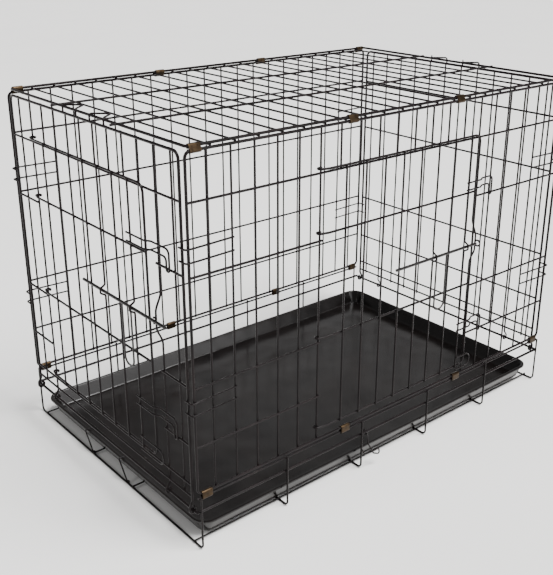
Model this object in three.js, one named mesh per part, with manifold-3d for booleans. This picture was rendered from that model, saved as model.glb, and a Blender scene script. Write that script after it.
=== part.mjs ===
// A folding wire dog crate with a front door, a side door and a pull-out floor tray.
// Millimetres, +Z up. The origin is on the floor under the middle of the crate.
// X runs along the crate: the front end is at -X. The near side, with the side door, is at -Y.
import * as THREE from 'three';
import { mergeVertices } from 'three/addons/utils/BufferGeometryUtils.js';
import Module from 'manifold-3d';

const wasm = await Module();
wasm.setup();

// ---------------------------------------------------------------- driving dimensions

// Overall sizes, between wire centre lines
const FRAME_LENGTH = 906;
const FRAME_WIDTH = 567;
const FRAME_HEIGHT = 668;

// Wire diameters
const OUTLINE_WIRE = 4.4;
const RAIL_WIRE = 5.0;
const UPPER_RAIL_WIRE = 4.0;
const LEVEL_WIRE = 3.6;
const UPRIGHT_WIRE = 3.0;
const FOOT_WIRE = 3.6;
const FLOOR_WIRE = 3.0;
const TOP_BAR_WIRE = 3.6;
const HOOK_WIRE = 3.0;
const BOLT_WIRE = 4.6;
const CURL_WIRE = 3.2;
const SMALL_WIRE = 2.4;

// Fits and clearances
const WELD = 0.4;
const WELD_GAP = 0.3;
const CURL_GAP = 0.8;
const BOLT_GAP = 0.7;
const HOOK_GAP = 0.9;
const POST_GAP = 8.6;
const TRAY_GAP = 0.35;
const CLIP_GAP = 0.35;
const DOOR_GAP = 0.5;
const HOOK_FOOT_GAP = 0.5;
const CUT_END_GAP = 0.7;

// Patterns of upright wires, and the bays that a door opening takes
const SIDE_PITCH = 43.6;
const END_PITCH = 44.6;
const LEAST_CORNER_BAY = 20;
const DOOR_BAYS = 9;

// Heights above the floor, and distances down from the top
const LOWER_RAIL_Z = 71;
const UPPER_RAIL_Z = 97;
const SIDE_BOTTOM_Z = 105;
const END_BOTTOM_Z = 95;
const SILL_Z = 117;
const LOW_STUB_Z = 190;
const MIDDLE_STUB_Z = 293;
const SIDE_TOP_DROP = 6;
const END_TOP_DROP = 8;
const HEAD_DROP = 80;
const HIGH_STUB_DROP = 193;

// Outline bends and how far each panel sits inside the frame planes
const SIDE_BEND = 10;
const END_BEND = 12;
const TOP_BEND = 6;
const TOP_INSET_X = 6.6;
const TOP_INSET_Y = 3;
const SIDE_INSET_X = 1.9;
const BEND_STEPS = 3;
const TOP_WIRE_SHIFT = 8;
const TOP_BAR_Y = 97;
const TOP_BAR_OVERHANG = 6.5;

// Doors
const FRONT_DOOR_PITCH = 46.4;
const FRONT_DOOR_UPRIGHTS = 7;
const FRONT_DOOR_EDGE_GAP = 22.7;
const SIDE_DOOR_PITCH = 44.7;
const SIDE_DOOR_UPRIGHTS = 8;
const SIDE_DOOR_EDGE_GAP = 5.7;
const SIDE_DOOR_LAST_BAY = 27;
const DOOR_BEND = 14;
const DOOR_JOG = 14;
const DOOR_LEVEL_STEPS = { sill: 11, middle: 8, high: 12, head: 6 };

// Slide bolts
const FRONT_BOLT_LENGTH = 256;
const FRONT_BOLT_PAST_KEEPER = 35.3;
const SIDE_BOLT_LENGTH = 221;
const SIDE_BOLT_SHORT_OF_KEEPER = 2.6;
const BUMP_HEIGHT = 19;
const BUMP_CREST = 0.58;
const BUMP_BEND = 3.5;
const KEEPER_BEND = 6;
const SIDE_KEEPER_MOUTH = 40;
const FRONT_KEEPER_MOUTH = 210;
const HANDLE_WIDTH = 27;
const HANDLE_DROP = 108;
const FRONT_HANDLE_FROM_CURL = 5.2;
const SIDE_HANDLE_FROM_CURL = 6.4;

// Lift-off hairpins and stop loops on the doors
const HAIRPIN_RISE = 34;
const HAIRPIN_WIDTH = 15;
const HAIRPIN_DIP = 8;
const HAIRPIN_PAST_EDGE = 40;
const HAIRPIN_BEND = 7;
const STOP_LOOP_Z = 137;
const STOP_LOOP_WIDTH = 26;
const STOP_LOOP_PAST_EDGE = 6;

// Corner hooks on the side panels, and top hooks on the end panels
const CORNER_HOOK_Z = [261, 510.5];
const CORNER_HOOK_WIDTH = 21;
const CORNER_HOOK_REACH = 18;
const HOOK_BEND = 4;
const TOP_HOOK_REACH = 27;
const TOP_HOOK_RISE = 5;

// Base
const FOOT_PITCH_MOST = 180;
const FOOT_END_INSET = 5;
const FLOOR_WIRE_Y = [71, 266];
const RAIL_CURL_SHOULDER = 2.6;

// Tray
const TRAY_SIDE_GAP = 6.5;
const TRAY_END_GAP = 4;
const TRAY_DEPTH = 31;
const TRAY_WALL = 2;
const TRAY_FLARE = 9;
const TRAY_CORNER = 30;
const TRAY_RIM = 5;
const TRAY_RIM_THICKNESS = 3;
const TRAY_CORNER_STEPS = 5;

// Tray hooks and the fold clip
const TRAY_HOOK_Y = [-50, 76];
const TRAY_HOOK_LEAN = 25;
const TRAY_HOOK_REACH = 15;
const TRAY_HOOK_OVER_RIM = 1;
const TRAY_HOOK_TAIL = 0.5;
const TRAY_HOOK_OFFSET = 0.3;
const TRAY_HOOK_BEND = 2.2;
const FOLD_CLIP_PAST_FOOT = 14;
const FOLD_CLIP_BEND = 3;

// Hinge clips
const CLIP_LENGTH = 15;
const CLIP_WALL = 1.1;
const CLIP_STEPS = 3;

// ---------------------------------------------------------------- derived places

const endX = FRAME_LENGTH / 2;
const sideY = FRAME_WIDTH / 2;
const sideTopZ = FRAME_HEIGHT - SIDE_TOP_DROP;
const endTopZ = FRAME_HEIGHT - END_TOP_DROP;
const headZ = FRAME_HEIGHT - HEAD_DROP;
const highStubZ = FRAME_HEIGHT - HIGH_STUB_DROP;
const boltZ = (MIDDLE_STUB_Z + highStubZ) / 2;

// Each upright touches the inner face of its panel's level wires.
const uprightInset = (LEVEL_WIRE + UPRIGHT_WIRE) / 2;
const sideUprightY = sideY - uprightInset;
const endUprightX = endX - uprightInset;
const sidePostX = endX - SIDE_INSET_X;
const endPostY = sideY - OUTLINE_WIRE - POST_GAP;
const sideOpening = (DOOR_BAYS / 2) * SIDE_PITCH;
const frontOpening = (DOOR_BAYS / 2) * END_PITCH;

// A hexagonal wire reaches this much further at its corners than at its flats.
const CORNER = 2 / Math.sqrt(3);

// The doors hang on curls round one upright, and lie just outside the panel's level wires.
const doorCurl = ((LEVEL_WIRE + UPRIGHT_WIRE) / 2) * CORNER + CURL_GAP;
const doorOut = uprightInset + (LEVEL_WIRE / 2) * (1 + CORNER) + DOOR_GAP;
const doorUprightOut = doorOut + (LEVEL_WIRE + UPRIGHT_WIRE) / 2;
const boltOut = doorUprightOut + (UPRIGHT_WIRE + BOLT_WIRE) / 2 + BOLT_GAP;
const boltCurl = ((UPRIGHT_WIRE + BOLT_WIRE) / 2) * CORNER + BOLT_GAP;
const hookOut = doorUprightOut + (UPRIGHT_WIRE + HOOK_WIRE) / 2 - WELD;

// Base
const footEndX = endX - FOOT_END_INSET;
const footCount = Math.ceil((2 * footEndX) / FOOT_PITCH_MOST) + 1;
const footPitch = (2 * footEndX) / (footCount - 1);
const footY = sideY + (RAIL_WIRE + FOOT_WIRE) / 2 + WELD_GAP;
const floorWireZ = FOOT_WIRE + WELD_GAP + FLOOR_WIRE / 2;
const trayBottomZ = floorWireZ + FLOOR_WIRE / 2 + TRAY_GAP;
const trayTopZ = trayBottomZ + TRAY_DEPTH;
const trayX = footEndX - TRAY_END_GAP;
const trayY = footY - FOOT_WIRE / 2 - TRAY_SIDE_GAP;

// ---------------------------------------------------------------- finishes

const FINISHES = {
  wire: { color: 0x1d1a1c, roughness: 0.38, metalness: 0.25 },
  bolt: { color: 0x1b191b, roughness: 0.35, metalness: 0.3 },
  tray: { color: 0x141416, roughness: 0.3, metalness: 0 },
  clip: { color: 0x6b5642, roughness: 0.35, metalness: 0.9 },
};

// ---------------------------------------------------------------- shapes

const v = (x, y, z) => new THREE.Vector3(x, y, z);
const up = v(0, 0, 1);

// A path that passes exactly through its points, so that a bend keeps its own steps.
class WirePath extends THREE.Curve {
  constructor(points) {
    super();
    this.points = points;
  }

  getPoint(t, target = new THREE.Vector3()) {
    const place = THREE.MathUtils.clamp(t, 0, 1) * (this.points.length - 1);
    const i = Math.min(Math.floor(place + 1e-9), this.points.length - 2);
    return target.copy(this.points[i]).lerp(this.points[i + 1], place - i);
  }

  getPointAt(u, target) {
    return this.getPoint(u, target);
  }

  // Where a long straight stretch meets a bend, the section stays square to the straight.
  getTangent(t, target = new THREE.Vector3()) {
    const last = this.points.length - 1;
    const i = Math.round(THREE.MathUtils.clamp(t, 0, 1) * last);
    const into = this.points[i].clone().sub(this.points[Math.max(i - 1, 0)]);
    const out = this.points[Math.min(i + 1, last)].clone().sub(this.points[i]);
    if (into.length() > 3 * out.length()) {
      return target.copy(into).normalize();
    }
    if (out.length() > 3 * into.length()) {
      return target.copy(out).normalize();
    }
    return target.copy(into.normalize()).add(out.normalize()).normalize();
  }

  getTangentAt(u, target) {
    return this.getTangent(u, target);
  }
}

// The section of a wire, as wide across its flats as the wire's diameter.
function wireSection(diameter, sides) {
  const half = Math.PI / sides;
  const corner = diameter / 2 / Math.cos(half);
  const points = [];
  for (let i = 0; i < sides; i += 1) {
    const angle = half * (2 * i + 1);
    points.push(new THREE.Vector2(corner * Math.cos(angle), corner * Math.sin(angle)));
  }
  return new THREE.Shape(points);
}

function bentWire(points, diameter, sides = 6) {
  return new THREE.ExtrudeGeometry(wireSection(diameter, sides), {
    steps: points.length - 1,
    bevelEnabled: false,
    extrudePath: new WirePath(points),
  });
}

// A straight wire with one pair of flats facing along the direction given.
function bar(from, to, diameter, flat) {
  const along = to.clone().sub(from);
  const corner = (diameter / 2) * CORNER;
  const geometry = new THREE.CylinderGeometry(corner, corner, along.length(), 6);
  const across = flat.clone().normalize();
  const turned = new THREE.Matrix4().makeBasis(
    across,
    along.clone().normalize(),
    across.clone().cross(along).normalize(),
  );
  geometry.applyMatrix4(turned);
  const middle = from.clone().add(to).multiplyScalar(0.5);
  return geometry.translate(middle.x, middle.y, middle.z);
}

// Points of a polyline whose inner corners are rounded to the radius given.
function rounded(points, radius, steps = BEND_STEPS) {
  const path = [points[0]];
  for (let i = 1; i < points.length - 1; i += 1) {
    const back = points[i - 1].clone().sub(points[i]);
    const ahead = points[i + 1].clone().sub(points[i]);
    const half = back.angleTo(ahead) / 2;
    const room = Math.min(back.length(), ahead.length()) * 0.49;
    const reach = Math.min(radius / Math.tan(half), room);
    const start = points[i].clone().addScaledVector(back.normalize(), reach);
    const end = points[i].clone().addScaledVector(ahead.normalize(), reach);
    const middle = start.clone().add(end).multiplyScalar(0.5).sub(points[i]).normalize();
    const centre = points[i].clone().addScaledVector(middle, reach / Math.cos(half));
    const from = start.clone().sub(centre);
    const turn = Math.PI - 2 * half;
    const side = end.clone().sub(centre).sub(from.clone().multiplyScalar(Math.cos(turn)));
    side.multiplyScalar(1 / Math.sin(turn));
    for (let k = 0; k <= steps; k += 1) {
      const angle = (turn * k) / steps;
      const spoke = from.clone().multiplyScalar(Math.cos(angle));
      path.push(spoke.addScaledVector(side, Math.sin(angle)).add(centre));
    }
  }
  path.push(points[points.length - 1]);
  return path;
}

// Points of an arc about a centre, from one angle to another, where 0 degrees lies along
// the first axis and 90 degrees along the second.
function arc(centre, radius, fromDegrees, toDegrees, first, second, stepDegrees = 36) {
  const steps = Math.ceil(Math.abs(toDegrees - fromDegrees) / stepDegrees);
  const points = [];
  for (let i = 0; i <= steps; i += 1) {
    const angle = THREE.MathUtils.degToRad(fromDegrees + ((toDegrees - fromDegrees) * i) / steps);
    const spoke = first.clone().multiplyScalar(radius * Math.cos(angle));
    points.push(spoke.addScaledVector(second, radius * Math.sin(angle)).add(centre));
  }
  return points;
}

// A closed rectangular wire outline in the XY plane, with round corners and bevelled edges.
function outline(halfWidth, halfHeight, bend, diameter) {
  const bevel = diameter * 0.29;
  const ring = (grow) => {
    const x = halfWidth + grow;
    const y = halfHeight + grow;
    const r = bend + grow;
    const quarter = (cx, cy, from) =>
      arc(v(cx, cy, 0), r, from, from + 90, v(1, 0, 0), v(0, 1, 0), 90 / BEND_STEPS);
    return [
      ...quarter(x - r, y - r, 0),
      ...quarter(r - x, y - r, 90),
      ...quarter(r - x, r - y, 180),
      ...quarter(x - r, r - y, 270),
    ].map((point) => new THREE.Vector2(point.x, point.y));
  };
  const shape = new THREE.Shape(ring(diameter / 2));
  shape.holes.push(new THREE.Path(ring(-diameter / 2)));
  const geometry = new THREE.ExtrudeGeometry(shape, {
    depth: diameter - 2 * bevel,
    steps: 1,
    bevelEnabled: true,
    bevelThickness: bevel,
    bevelSize: bevel,
    bevelOffset: -bevel,
    bevelSegments: 1,
  });
  return geometry.translate(0, 0, bevel - diameter / 2);
}

// ---------------------------------------------------------------- joining

function solid(geometry) {
  const bare = geometry.clone();
  bare.deleteAttribute('normal');
  bare.deleteAttribute('uv');
  const merged = mergeVertices(bare, 1e-3);
  const mesh = new wasm.Mesh({
    numProp: 3,
    vertProperties: Float32Array.from(merged.attributes.position.array),
    triVerts: Uint32Array.from(merged.index.array),
  });
  return new wasm.Manifold(mesh);
}

function geometryOf(manifold) {
  const mesh = manifold.getMesh();
  const geometry = new THREE.BufferGeometry();
  geometry.setAttribute('position', new THREE.BufferAttribute(mesh.vertProperties, 3));
  geometry.setIndex(new THREE.BufferAttribute(mesh.triVerts, 1));
  const flat = geometry.toNonIndexed();
  flat.computeVertexNormals();
  return flat;
}

function weld(geometries) {
  const joined = geometries.map(solid).reduce((all, next) => all.add(next));
  return geometryOf(joined);
}

const crate = new THREE.Group();

function piece(name, geometry, finish) {
  const mesh = new THREE.Mesh(geometry, new THREE.MeshStandardMaterial(FINISHES[finish]));
  mesh.name = name;
  crate.add(mesh);
  return mesh;
}

// ---------------------------------------------------------------- patterns

// Places of the upright wires across a panel: whole pitches about its middle, with the
// outermost wire at least a finger's width inside the post.
function uprights(half, pitch) {
  const perHalf = Math.floor((half - LEAST_CORNER_BAY) / pitch + 0.5);
  return Array.from({ length: 2 * perHalf }, (_, i) => (i - perHalf + 0.5) * pitch);
}

const sideUprights = uprights(endX, SIDE_PITCH);
const endUprights = uprights(sideY, END_PITCH);
const inOpening = (place, half) => Math.abs(place) < half - 1;
const onEdge = (place, half) => Math.abs(Math.abs(place) - half) < 1;

// ---------------------------------------------------------------- base

function makeBase() {
  const outward = v(0, 1, 0);
  for (const [side, sign] of [['near', -1], ['far', 1]]) {
    const y = sign * sideY;
    const low = [v(-endX, y, LOWER_RAIL_Z), v(endX, y, LOWER_RAIL_Z)];
    const high = [v(-sidePostX, y, UPPER_RAIL_Z), v(sidePostX, y, UPPER_RAIL_Z)];
    piece(`base_rail_${side}`, bar(low[0], low[1], RAIL_WIRE, outward), 'wire');
    piece(`base_upper_rail_${side}`, bar(high[0], high[1], UPPER_RAIL_WIRE, outward), 'wire');
  }
  const railEndY = sideY - RAIL_WIRE / 2 - CUT_END_GAP;
  for (const [end, sign] of [['front', -1], ['rear', 1]]) {
    const x = sign * endX;
    const ends = [v(x, -railEndY, LOWER_RAIL_Z), v(x, railEndY, LOWER_RAIL_Z)];
    piece(`base_rail_${end}`, bar(ends[0], ends[1], RAIL_WIRE, up), 'wire');
  }
  for (let i = 0; i < footCount; i += 1) {
    const x = -footEndX + i * footPitch;
    const floorZ = FOOT_WIRE / 2;
    const topZ = UPPER_RAIL_Z + UPPER_RAIL_WIRE / 2;
    const path = [v(x, -footY, topZ), v(x, -footY, floorZ), v(x, footY, floorZ), v(x, footY, topZ)];
    piece(`foot_wire_${i + 1}`, bentWire(rounded(path, FOOT_WIRE, 1), FOOT_WIRE, 4), 'wire');
  }
  [...FLOOR_WIRE_Y.map((y) => -y).reverse(), ...FLOOR_WIRE_Y].forEach((y, i) => {
    const x = footEndX + FOOT_WIRE / 2;
    const wire = bar(v(-x, y, floorWireZ), v(x, y, floorWireZ), FLOOR_WIRE, up);
    piece(`floor_wire_${i + 1}`, wire, 'wire');
  });
}

// ---------------------------------------------------------------- tray

// A solid with a rounded rectangular plan that widens from its foot to its top.
function tub(halfX, halfY, corner, flare, bottom, top) {
  const shape = new THREE.Shape();
  shape.moveTo(halfX, -halfY + corner);
  shape.lineTo(halfX, halfY - corner);
  shape.absarc(halfX - corner, halfY - corner, corner, 0, Math.PI / 2);
  shape.lineTo(-halfX + corner, halfY);
  shape.absarc(-halfX + corner, halfY - corner, corner, Math.PI / 2, Math.PI);
  shape.lineTo(-halfX, -halfY + corner);
  shape.absarc(-halfX + corner, -halfY + corner, corner, Math.PI, 1.5 * Math.PI);
  shape.lineTo(halfX - corner, -halfY);
  shape.absarc(halfX - corner, -halfY + corner, corner, 1.5 * Math.PI, 2 * Math.PI);
  const geometry = new THREE.ExtrudeGeometry(shape, {
    depth: top - bottom,
    steps: 1,
    bevelEnabled: false,
    curveSegments: TRAY_CORNER_STEPS,
  });
  const places = geometry.attributes.position;
  for (let i = 0; i < places.count; i += 1) {
    if (places.getZ(i) < (top - bottom) / 2) {
      places.setX(i, places.getX(i) * (1 - flare / halfX));
      places.setY(i, places.getY(i) * (1 - flare / halfY));
    }
  }
  return geometry.translate(0, 0, bottom);
}

function makeTray() {
  const wallX = trayX - TRAY_RIM;
  const wallY = trayY - TRAY_RIM;
  const bottom = trayBottomZ;
  const wall = tub(wallX, wallY, TRAY_CORNER - TRAY_RIM, TRAY_FLARE, bottom, trayTopZ);
  const rim = tub(trayX, trayY, TRAY_CORNER, 0, trayTopZ - TRAY_RIM_THICKNESS, trayTopZ);
  const hollow = tub(
    wallX - TRAY_WALL,
    wallY - TRAY_WALL,
    TRAY_CORNER - TRAY_RIM - TRAY_WALL,
    TRAY_FLARE,
    bottom + TRAY_WALL,
    trayTopZ + 1,
  );
  piece('tray', geometryOf(solid(wall).add(solid(rim)).subtract(solid(hollow))), 'tray');
}

// ---------------------------------------------------------------- side panels

// A panel point: x along the crate, out from the panel's plane, z up.
function sidePoint(sign) {
  return (x, out, z) => v(x, sign * (sideY + out), z);
}

// The bump of an upright wire over a bolt, in distances (along the wire, out).
function bumpPath(base, top, straightOut, point, place, boltAt) {
  const front = boltAt + boltCurl;
  const half = BUMP_HEIGHT / 2;
  const shape = [
    point(place, straightOut, base),
    point(place, straightOut, boltZ - half),
    point(place, front, boltZ - half * BUMP_CREST),
    point(place, front, boltZ + half * BUMP_CREST),
    point(place, straightOut, boltZ + half),
    point(place, straightOut, top),
  ];
  return rounded(shape, BUMP_BEND, 1);
}

function cornerHook(point, sign, level) {
  const start = Math.max(...sideUprights.filter((x) => x < sidePostX - SIDE_PITCH));
  const half = CORNER_HOOK_WIDTH / 2;
  const weldOut = (UPRIGHT_WIRE + HOOK_WIRE) / 2 - uprightInset - WELD;
  const postOut = (OUTLINE_WIRE + HOOK_WIRE) / 2 - WELD;
  const faceX = endX + (OUTLINE_WIRE + HOOK_WIRE) / 2 + HOOK_GAP;
  const leg = (z) => [
    point(sign * start, weldOut, z),
    point(sign * (sidePostX - SIDE_BEND), postOut, z),
    point(sign * faceX, postOut, z),
    point(sign * faceX, postOut - CORNER_HOOK_REACH, z),
  ];
  const path = [...leg(level - half), ...leg(level + half).reverse()];
  return bentWire(rounded(path, HOOK_BEND, 1), HOOK_WIRE, 4);
}

// A keeper: a curl behind the tip of a bolt, open by the angle given.
function keeper(point, place, boltAt, openDegrees) {
  const centre = point(place, boltAt, boltZ);
  const inward = point(place, boltAt - 1, boltZ).sub(centre);
  const half = 180 - openDegrees / 2;
  return bentWire(arc(centre, boltCurl, -half, half, inward, up, 32), UPRIGHT_WIRE, 4);
}

// An opening-edge upright that bends out to carry its keeper.
function keeperUpright(point, place, uprightOut, base, top, boltAt) {
  const reach = boltAt - boltCurl - UPRIGHT_WIRE / 3;
  const shape = [
    point(place, uprightOut, base),
    point(place, uprightOut, boltZ - 2 * BUMP_HEIGHT),
    point(place, reach, boltZ - BUMP_HEIGHT / 2),
    point(place, reach, boltZ + BUMP_HEIGHT / 2),
    point(place, uprightOut, boltZ + 2 * BUMP_HEIGHT),
    point(place, uprightOut, top),
  ];
  return bentWire(rounded(shape, KEEPER_BEND, 1), UPRIGHT_WIRE);
}

function sidePanel(sign, hasDoor) {
  const point = sidePoint(sign);
  const along = v(1, 0, 0);
  const middleZ = (SIDE_BOTTOM_Z + sideTopZ) / 2;
  const frame = outline(sidePostX, (sideTopZ - SIDE_BOTTOM_Z) / 2, SIDE_BEND, OUTLINE_WIRE);
  frame.rotateX(Math.PI / 2).translate(0, sign * sideY, middleZ);
  const wires = [frame];
  const level = (x0, x1, z) => bar(point(x0, 0, z), point(x1, 0, z), LEVEL_WIRE, up);
  for (const x of sideUprights) {
    const cut = hasDoor && inOpening(x, sideOpening);
    const base = cut ? headZ - LEVEL_WIRE / 2 : SIDE_BOTTOM_Z;
    if (hasDoor && onEdge(x, sideOpening) && x > 0) {
      const boltAt = boltOut - uprightInset;
      wires.push(keeperUpright(point, x, -uprightInset, base, sideTopZ, boltAt));
      wires.push(keeper(point, x, boltAt, SIDE_KEEPER_MOUTH));
    } else {
      const foot = point(x, -uprightInset, base);
      wires.push(bar(foot, point(x, -uprightInset, sideTopZ), UPRIGHT_WIRE, along));
    }
  }
  wires.push(level(-sidePostX, sidePostX, headZ));
  const stubs = [LOW_STUB_Z, MIDDLE_STUB_Z, highStubZ];
  for (const z of stubs) {
    if (hasDoor) {
      wires.push(level(-sidePostX, -sideOpening + UPRIGHT_WIRE / 2, z));
      wires.push(level(sideOpening - UPRIGHT_WIRE / 2, sidePostX, z));
    } else {
      wires.push(level(-sidePostX, sidePostX, z));
    }
  }
  for (const end of [-1, 1]) {
    for (const z of CORNER_HOOK_Z) {
      wires.push(cornerHook(point, end, z));
    }
  }
  return weld(wires);
}

// ---------------------------------------------------------------- end panels

// A panel point: y across the crate, out from the panel's plane, z up.
function endPoint(sign) {
  return (y, out, z) => v(sign * (endX + out), y, z);
}

// The foot of an upright that curls round the end rail below it.
function railCurl(point, y, uprightOut, diameter) {
  const radius = ((RAIL_WIRE + CURL_WIRE) / 2) * CORNER + CURL_GAP / 2;
  const centre = point(y, 0, LOWER_RAIL_Z);
  const outward = point(y, 1, LOWER_RAIL_Z).sub(centre);
  const ring = arc(centre, radius, 180, 430, outward.clone().negate(), up, 42);
  const drop = [
    point(y, uprightOut, END_BOTTOM_Z + diameter),
    point(y, uprightOut, LOWER_RAIL_Z + RAIL_CURL_SHOULDER * radius),
    point(y, radius, LOWER_RAIL_Z + radius),
  ];
  return bentWire([...rounded(drop, HOOK_BEND, 1), ...ring], CURL_WIRE, 4);
}

function endPanel(sign, hasDoor) {
  const point = endPoint(sign);
  const along = v(0, 1, 0);
  const posts = [
    point(-endPostY, 0, END_BOTTOM_Z - LEVEL_WIRE / 2),
    point(-endPostY, 0, endTopZ),
    point(endPostY, 0, endTopZ),
    point(endPostY, 0, END_BOTTOM_Z - LEVEL_WIRE / 2),
  ];
  const wires = [bentWire(rounded(posts, END_BEND), OUTLINE_WIRE)];
  const level = (y0, y1, z) => bar(point(y0, 0, z), point(y1, 0, z), LEVEL_WIRE, up);
  const boltAt = boltOut - uprightInset;
  for (const y of endUprights) {
    const cut = hasDoor && inOpening(y, frontOpening);
    const base = (cut ? headZ : END_BOTTOM_Z) - LEVEL_WIRE / 2;
    if (hasDoor && onEdge(y, frontOpening) && y < 0) {
      wires.push(keeperUpright(point, y, -uprightInset, base, endTopZ, boltAt));
      wires.push(keeper(point, y, boltAt, FRONT_KEEPER_MOUTH));
    } else {
      const foot = point(y, -uprightInset, base);
      wires.push(bar(foot, point(y, -uprightInset, endTopZ), UPRIGHT_WIRE, along));
    }
    if (onEdge(y, frontOpening)) {
      wires.push(railCurl(point, y, -uprightInset, UPRIGHT_WIRE));
    }
  }
  for (const y of [-endPostY, endPostY]) {
    wires.push(railCurl(point, y, 0, OUTLINE_WIRE));
  }
  for (const z of [END_BOTTOM_Z, SILL_Z, headZ]) {
    wires.push(level(-endPostY, endPostY, z));
  }
  for (const z of [LOW_STUB_Z, MIDDLE_STUB_Z, highStubZ]) {
    if (hasDoor) {
      wires.push(level(-endPostY, -frontOpening + UPRIGHT_WIRE / 2, z));
      wires.push(level(frontOpening - UPRIGHT_WIRE / 2, endPostY, z));
    } else {
      wires.push(level(-endPostY, endPostY, z));
    }
  }
  return weld(wires);
}

// A spring hook that rises from an end panel's top wire and reaches over the top panel.
function topHook(sign, y) {
  const point = endPoint(sign);
  const half = END_PITCH / 2;
  const footZ = endTopZ + OUTLINE_WIRE / 2 + HOOK_FOOT_GAP;
  const overZ = FRAME_HEIGHT + TOP_HOOK_RISE;
  const path = [
    point(y + half, 0, footZ),
    point(y + half, 0, overZ),
    point(y, -TOP_HOOK_REACH, overZ),
    point(y - half, 0, overZ),
    point(y - half, 0, footZ),
  ];
  return bentWire(rounded(path, HOOK_BEND, 2), HOOK_WIRE);
}

// ---------------------------------------------------------------- top panel

function topPanel() {
  const x = endX - TOP_INSET_X;
  const y = sideY - TOP_INSET_Y;
  const frame = outline(x, y, TOP_BEND, OUTLINE_WIRE).translate(0, 0, FRAME_HEIGHT);
  const wires = [frame];
  const wireZ = FRAME_HEIGHT - (OUTLINE_WIRE + UPRIGHT_WIRE) / 2 + WELD;
  for (const place of sideUprights) {
    const at = place + TOP_WIRE_SHIFT;
    wires.push(bar(v(at, -y, wireZ), v(at, y, wireZ), UPRIGHT_WIRE, v(1, 0, 0)));
  }
  const barZ = wireZ + (UPRIGHT_WIRE + TOP_BAR_WIRE) / 2;
  const reach = endX + TOP_BAR_OVERHANG;
  for (const place of [-TOP_BAR_Y, TOP_BAR_Y]) {
    wires.push(bar(v(-reach, place, barZ), v(reach, place, barZ), TOP_BAR_WIRE, v(0, 1, 0)));
  }
  return weld(wires);
}

// ---------------------------------------------------------------- doors

// Everything about a door is written along its panel: "along" grows from the hinge to the
// free edge, and "out" is measured from the hinge upright.
function doorPoint(kind) {
  if (kind === 'front') {
    return (along, out, z) => v(-endUprightX - out, frontOpening - along, z);
  }
  return (along, out, z) => v(-sideOpening + along, -sideUprightY - out, z);
}

const sideDoorEdge = 2 * sideOpening - SIDE_DOOR_EDGE_GAP;

const DOORS = {
  front: {
    opening: 2 * frontOpening,
    edge: 2 * frontOpening - FRONT_DOOR_EDGE_GAP,
    uprights: Array.from(
      { length: FRONT_DOOR_UPRIGHTS },
      (_, i) => frontOpening + ((FRONT_DOOR_UPRIGHTS - 1) / 2 - i) * FRONT_DOOR_PITCH,
    ),
    curled: [0, 2],
  },
  side: {
    opening: 2 * sideOpening,
    edge: sideDoorEdge,
    uprights: Array.from(
      { length: SIDE_DOOR_UPRIGHTS },
      (_, i) => sideDoorEdge - SIDE_DOOR_LAST_BAY - i * SIDE_DOOR_PITCH,
    ),
    curled: [0, 2],
  },
};

function doorLevels() {
  return {
    sill: SILL_Z + DOOR_LEVEL_STEPS.sill,
    middle: MIDDLE_STUB_Z + DOOR_LEVEL_STEPS.middle,
    high: highStubZ + DOOR_LEVEL_STEPS.high,
    head: headZ + DOOR_LEVEL_STEPS.head,
  };
}

// The curl at the hinge end of a level wire, ending where the straight part begins.
function doorCurlPoints(point, z) {
  const centre = point(0, 0, z);
  const outward = point(0, 1, z).sub(centre);
  const backward = point(-1, 0, z).sub(centre);
  return arc(centre, doorCurl, 255, 0, outward, backward, 43);
}

function hairpin(point, door, stubZ) {
  const start = door.uprights[0];
  const tip = door.opening + HAIRPIN_PAST_EDGE;
  const top = stubZ + HAIRPIN_RISE;
  const path = [
    point(start, hookOut, top),
    point(tip, hookOut, top),
    point(tip, hookOut, stubZ - HAIRPIN_DIP),
    point(tip - HAIRPIN_WIDTH, hookOut, stubZ - HAIRPIN_DIP),
    point(tip - HAIRPIN_WIDTH, hookOut, top - HAIRPIN_WIDTH),
    point(start, hookOut, top - HAIRPIN_WIDTH),
  ];
  return bentWire(rounded(path, HAIRPIN_BEND, 2), HOOK_WIRE, 4);
}

function stopLoop(point, door) {
  const start = door.uprights[0];
  const tip = door.opening + STOP_LOOP_PAST_EDGE;
  const half = STOP_LOOP_WIDTH / 2;
  const path = [
    point(start, hookOut, STOP_LOOP_Z - half),
    point(tip, hookOut, STOP_LOOP_Z - half),
    point(tip, hookOut, STOP_LOOP_Z + half),
    point(start, hookOut, STOP_LOOP_Z + half),
  ];
  return bentWire(rounded(path, half - 1, 2), HOOK_WIRE, 4);
}

function doorPanel(kind) {
  const point = doorPoint(kind);
  const door = DOORS[kind];
  const z = doorLevels();
  const along = point(1, 0, 0).sub(point(0, 0, 0));
  const edgeLoop = [
    point(DOOR_JOG, doorOut, z.head),
    point(door.edge, doorOut, z.head),
    point(door.edge, doorOut, z.sill),
    point(DOOR_JOG, doorOut, z.sill),
  ];
  const frame = [
    ...doorCurlPoints(point, z.head),
    ...rounded(edgeLoop, DOOR_BEND, 2),
    ...doorCurlPoints(point, z.sill).reverse(),
  ];
  const wires = [bentWire(frame, LEVEL_WIRE)];
  for (const level of [z.middle, z.high]) {
    const straight = [point(DOOR_JOG, doorOut, level), point(door.edge, doorOut, level)];
    wires.push(bentWire([...doorCurlPoints(point, level), ...straight], LEVEL_WIRE));
  }
  door.uprights.forEach((place, i) => {
    if (door.curled.includes(i)) {
      const path = bumpPath(z.sill, z.head, doorUprightOut, point, place, boltOut);
      wires.push(bentWire(path, UPRIGHT_WIRE));
    } else {
      const foot = point(place, doorUprightOut, z.sill);
      wires.push(bar(foot, point(place, doorUprightOut, z.head), UPRIGHT_WIRE, along));
    }
  });
  for (const stubZ of [LOW_STUB_Z, highStubZ]) {
    wires.push(hairpin(point, door, stubZ));
  }
  wires.push(stopLoop(point, door));
  return weld(wires);
}

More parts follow.
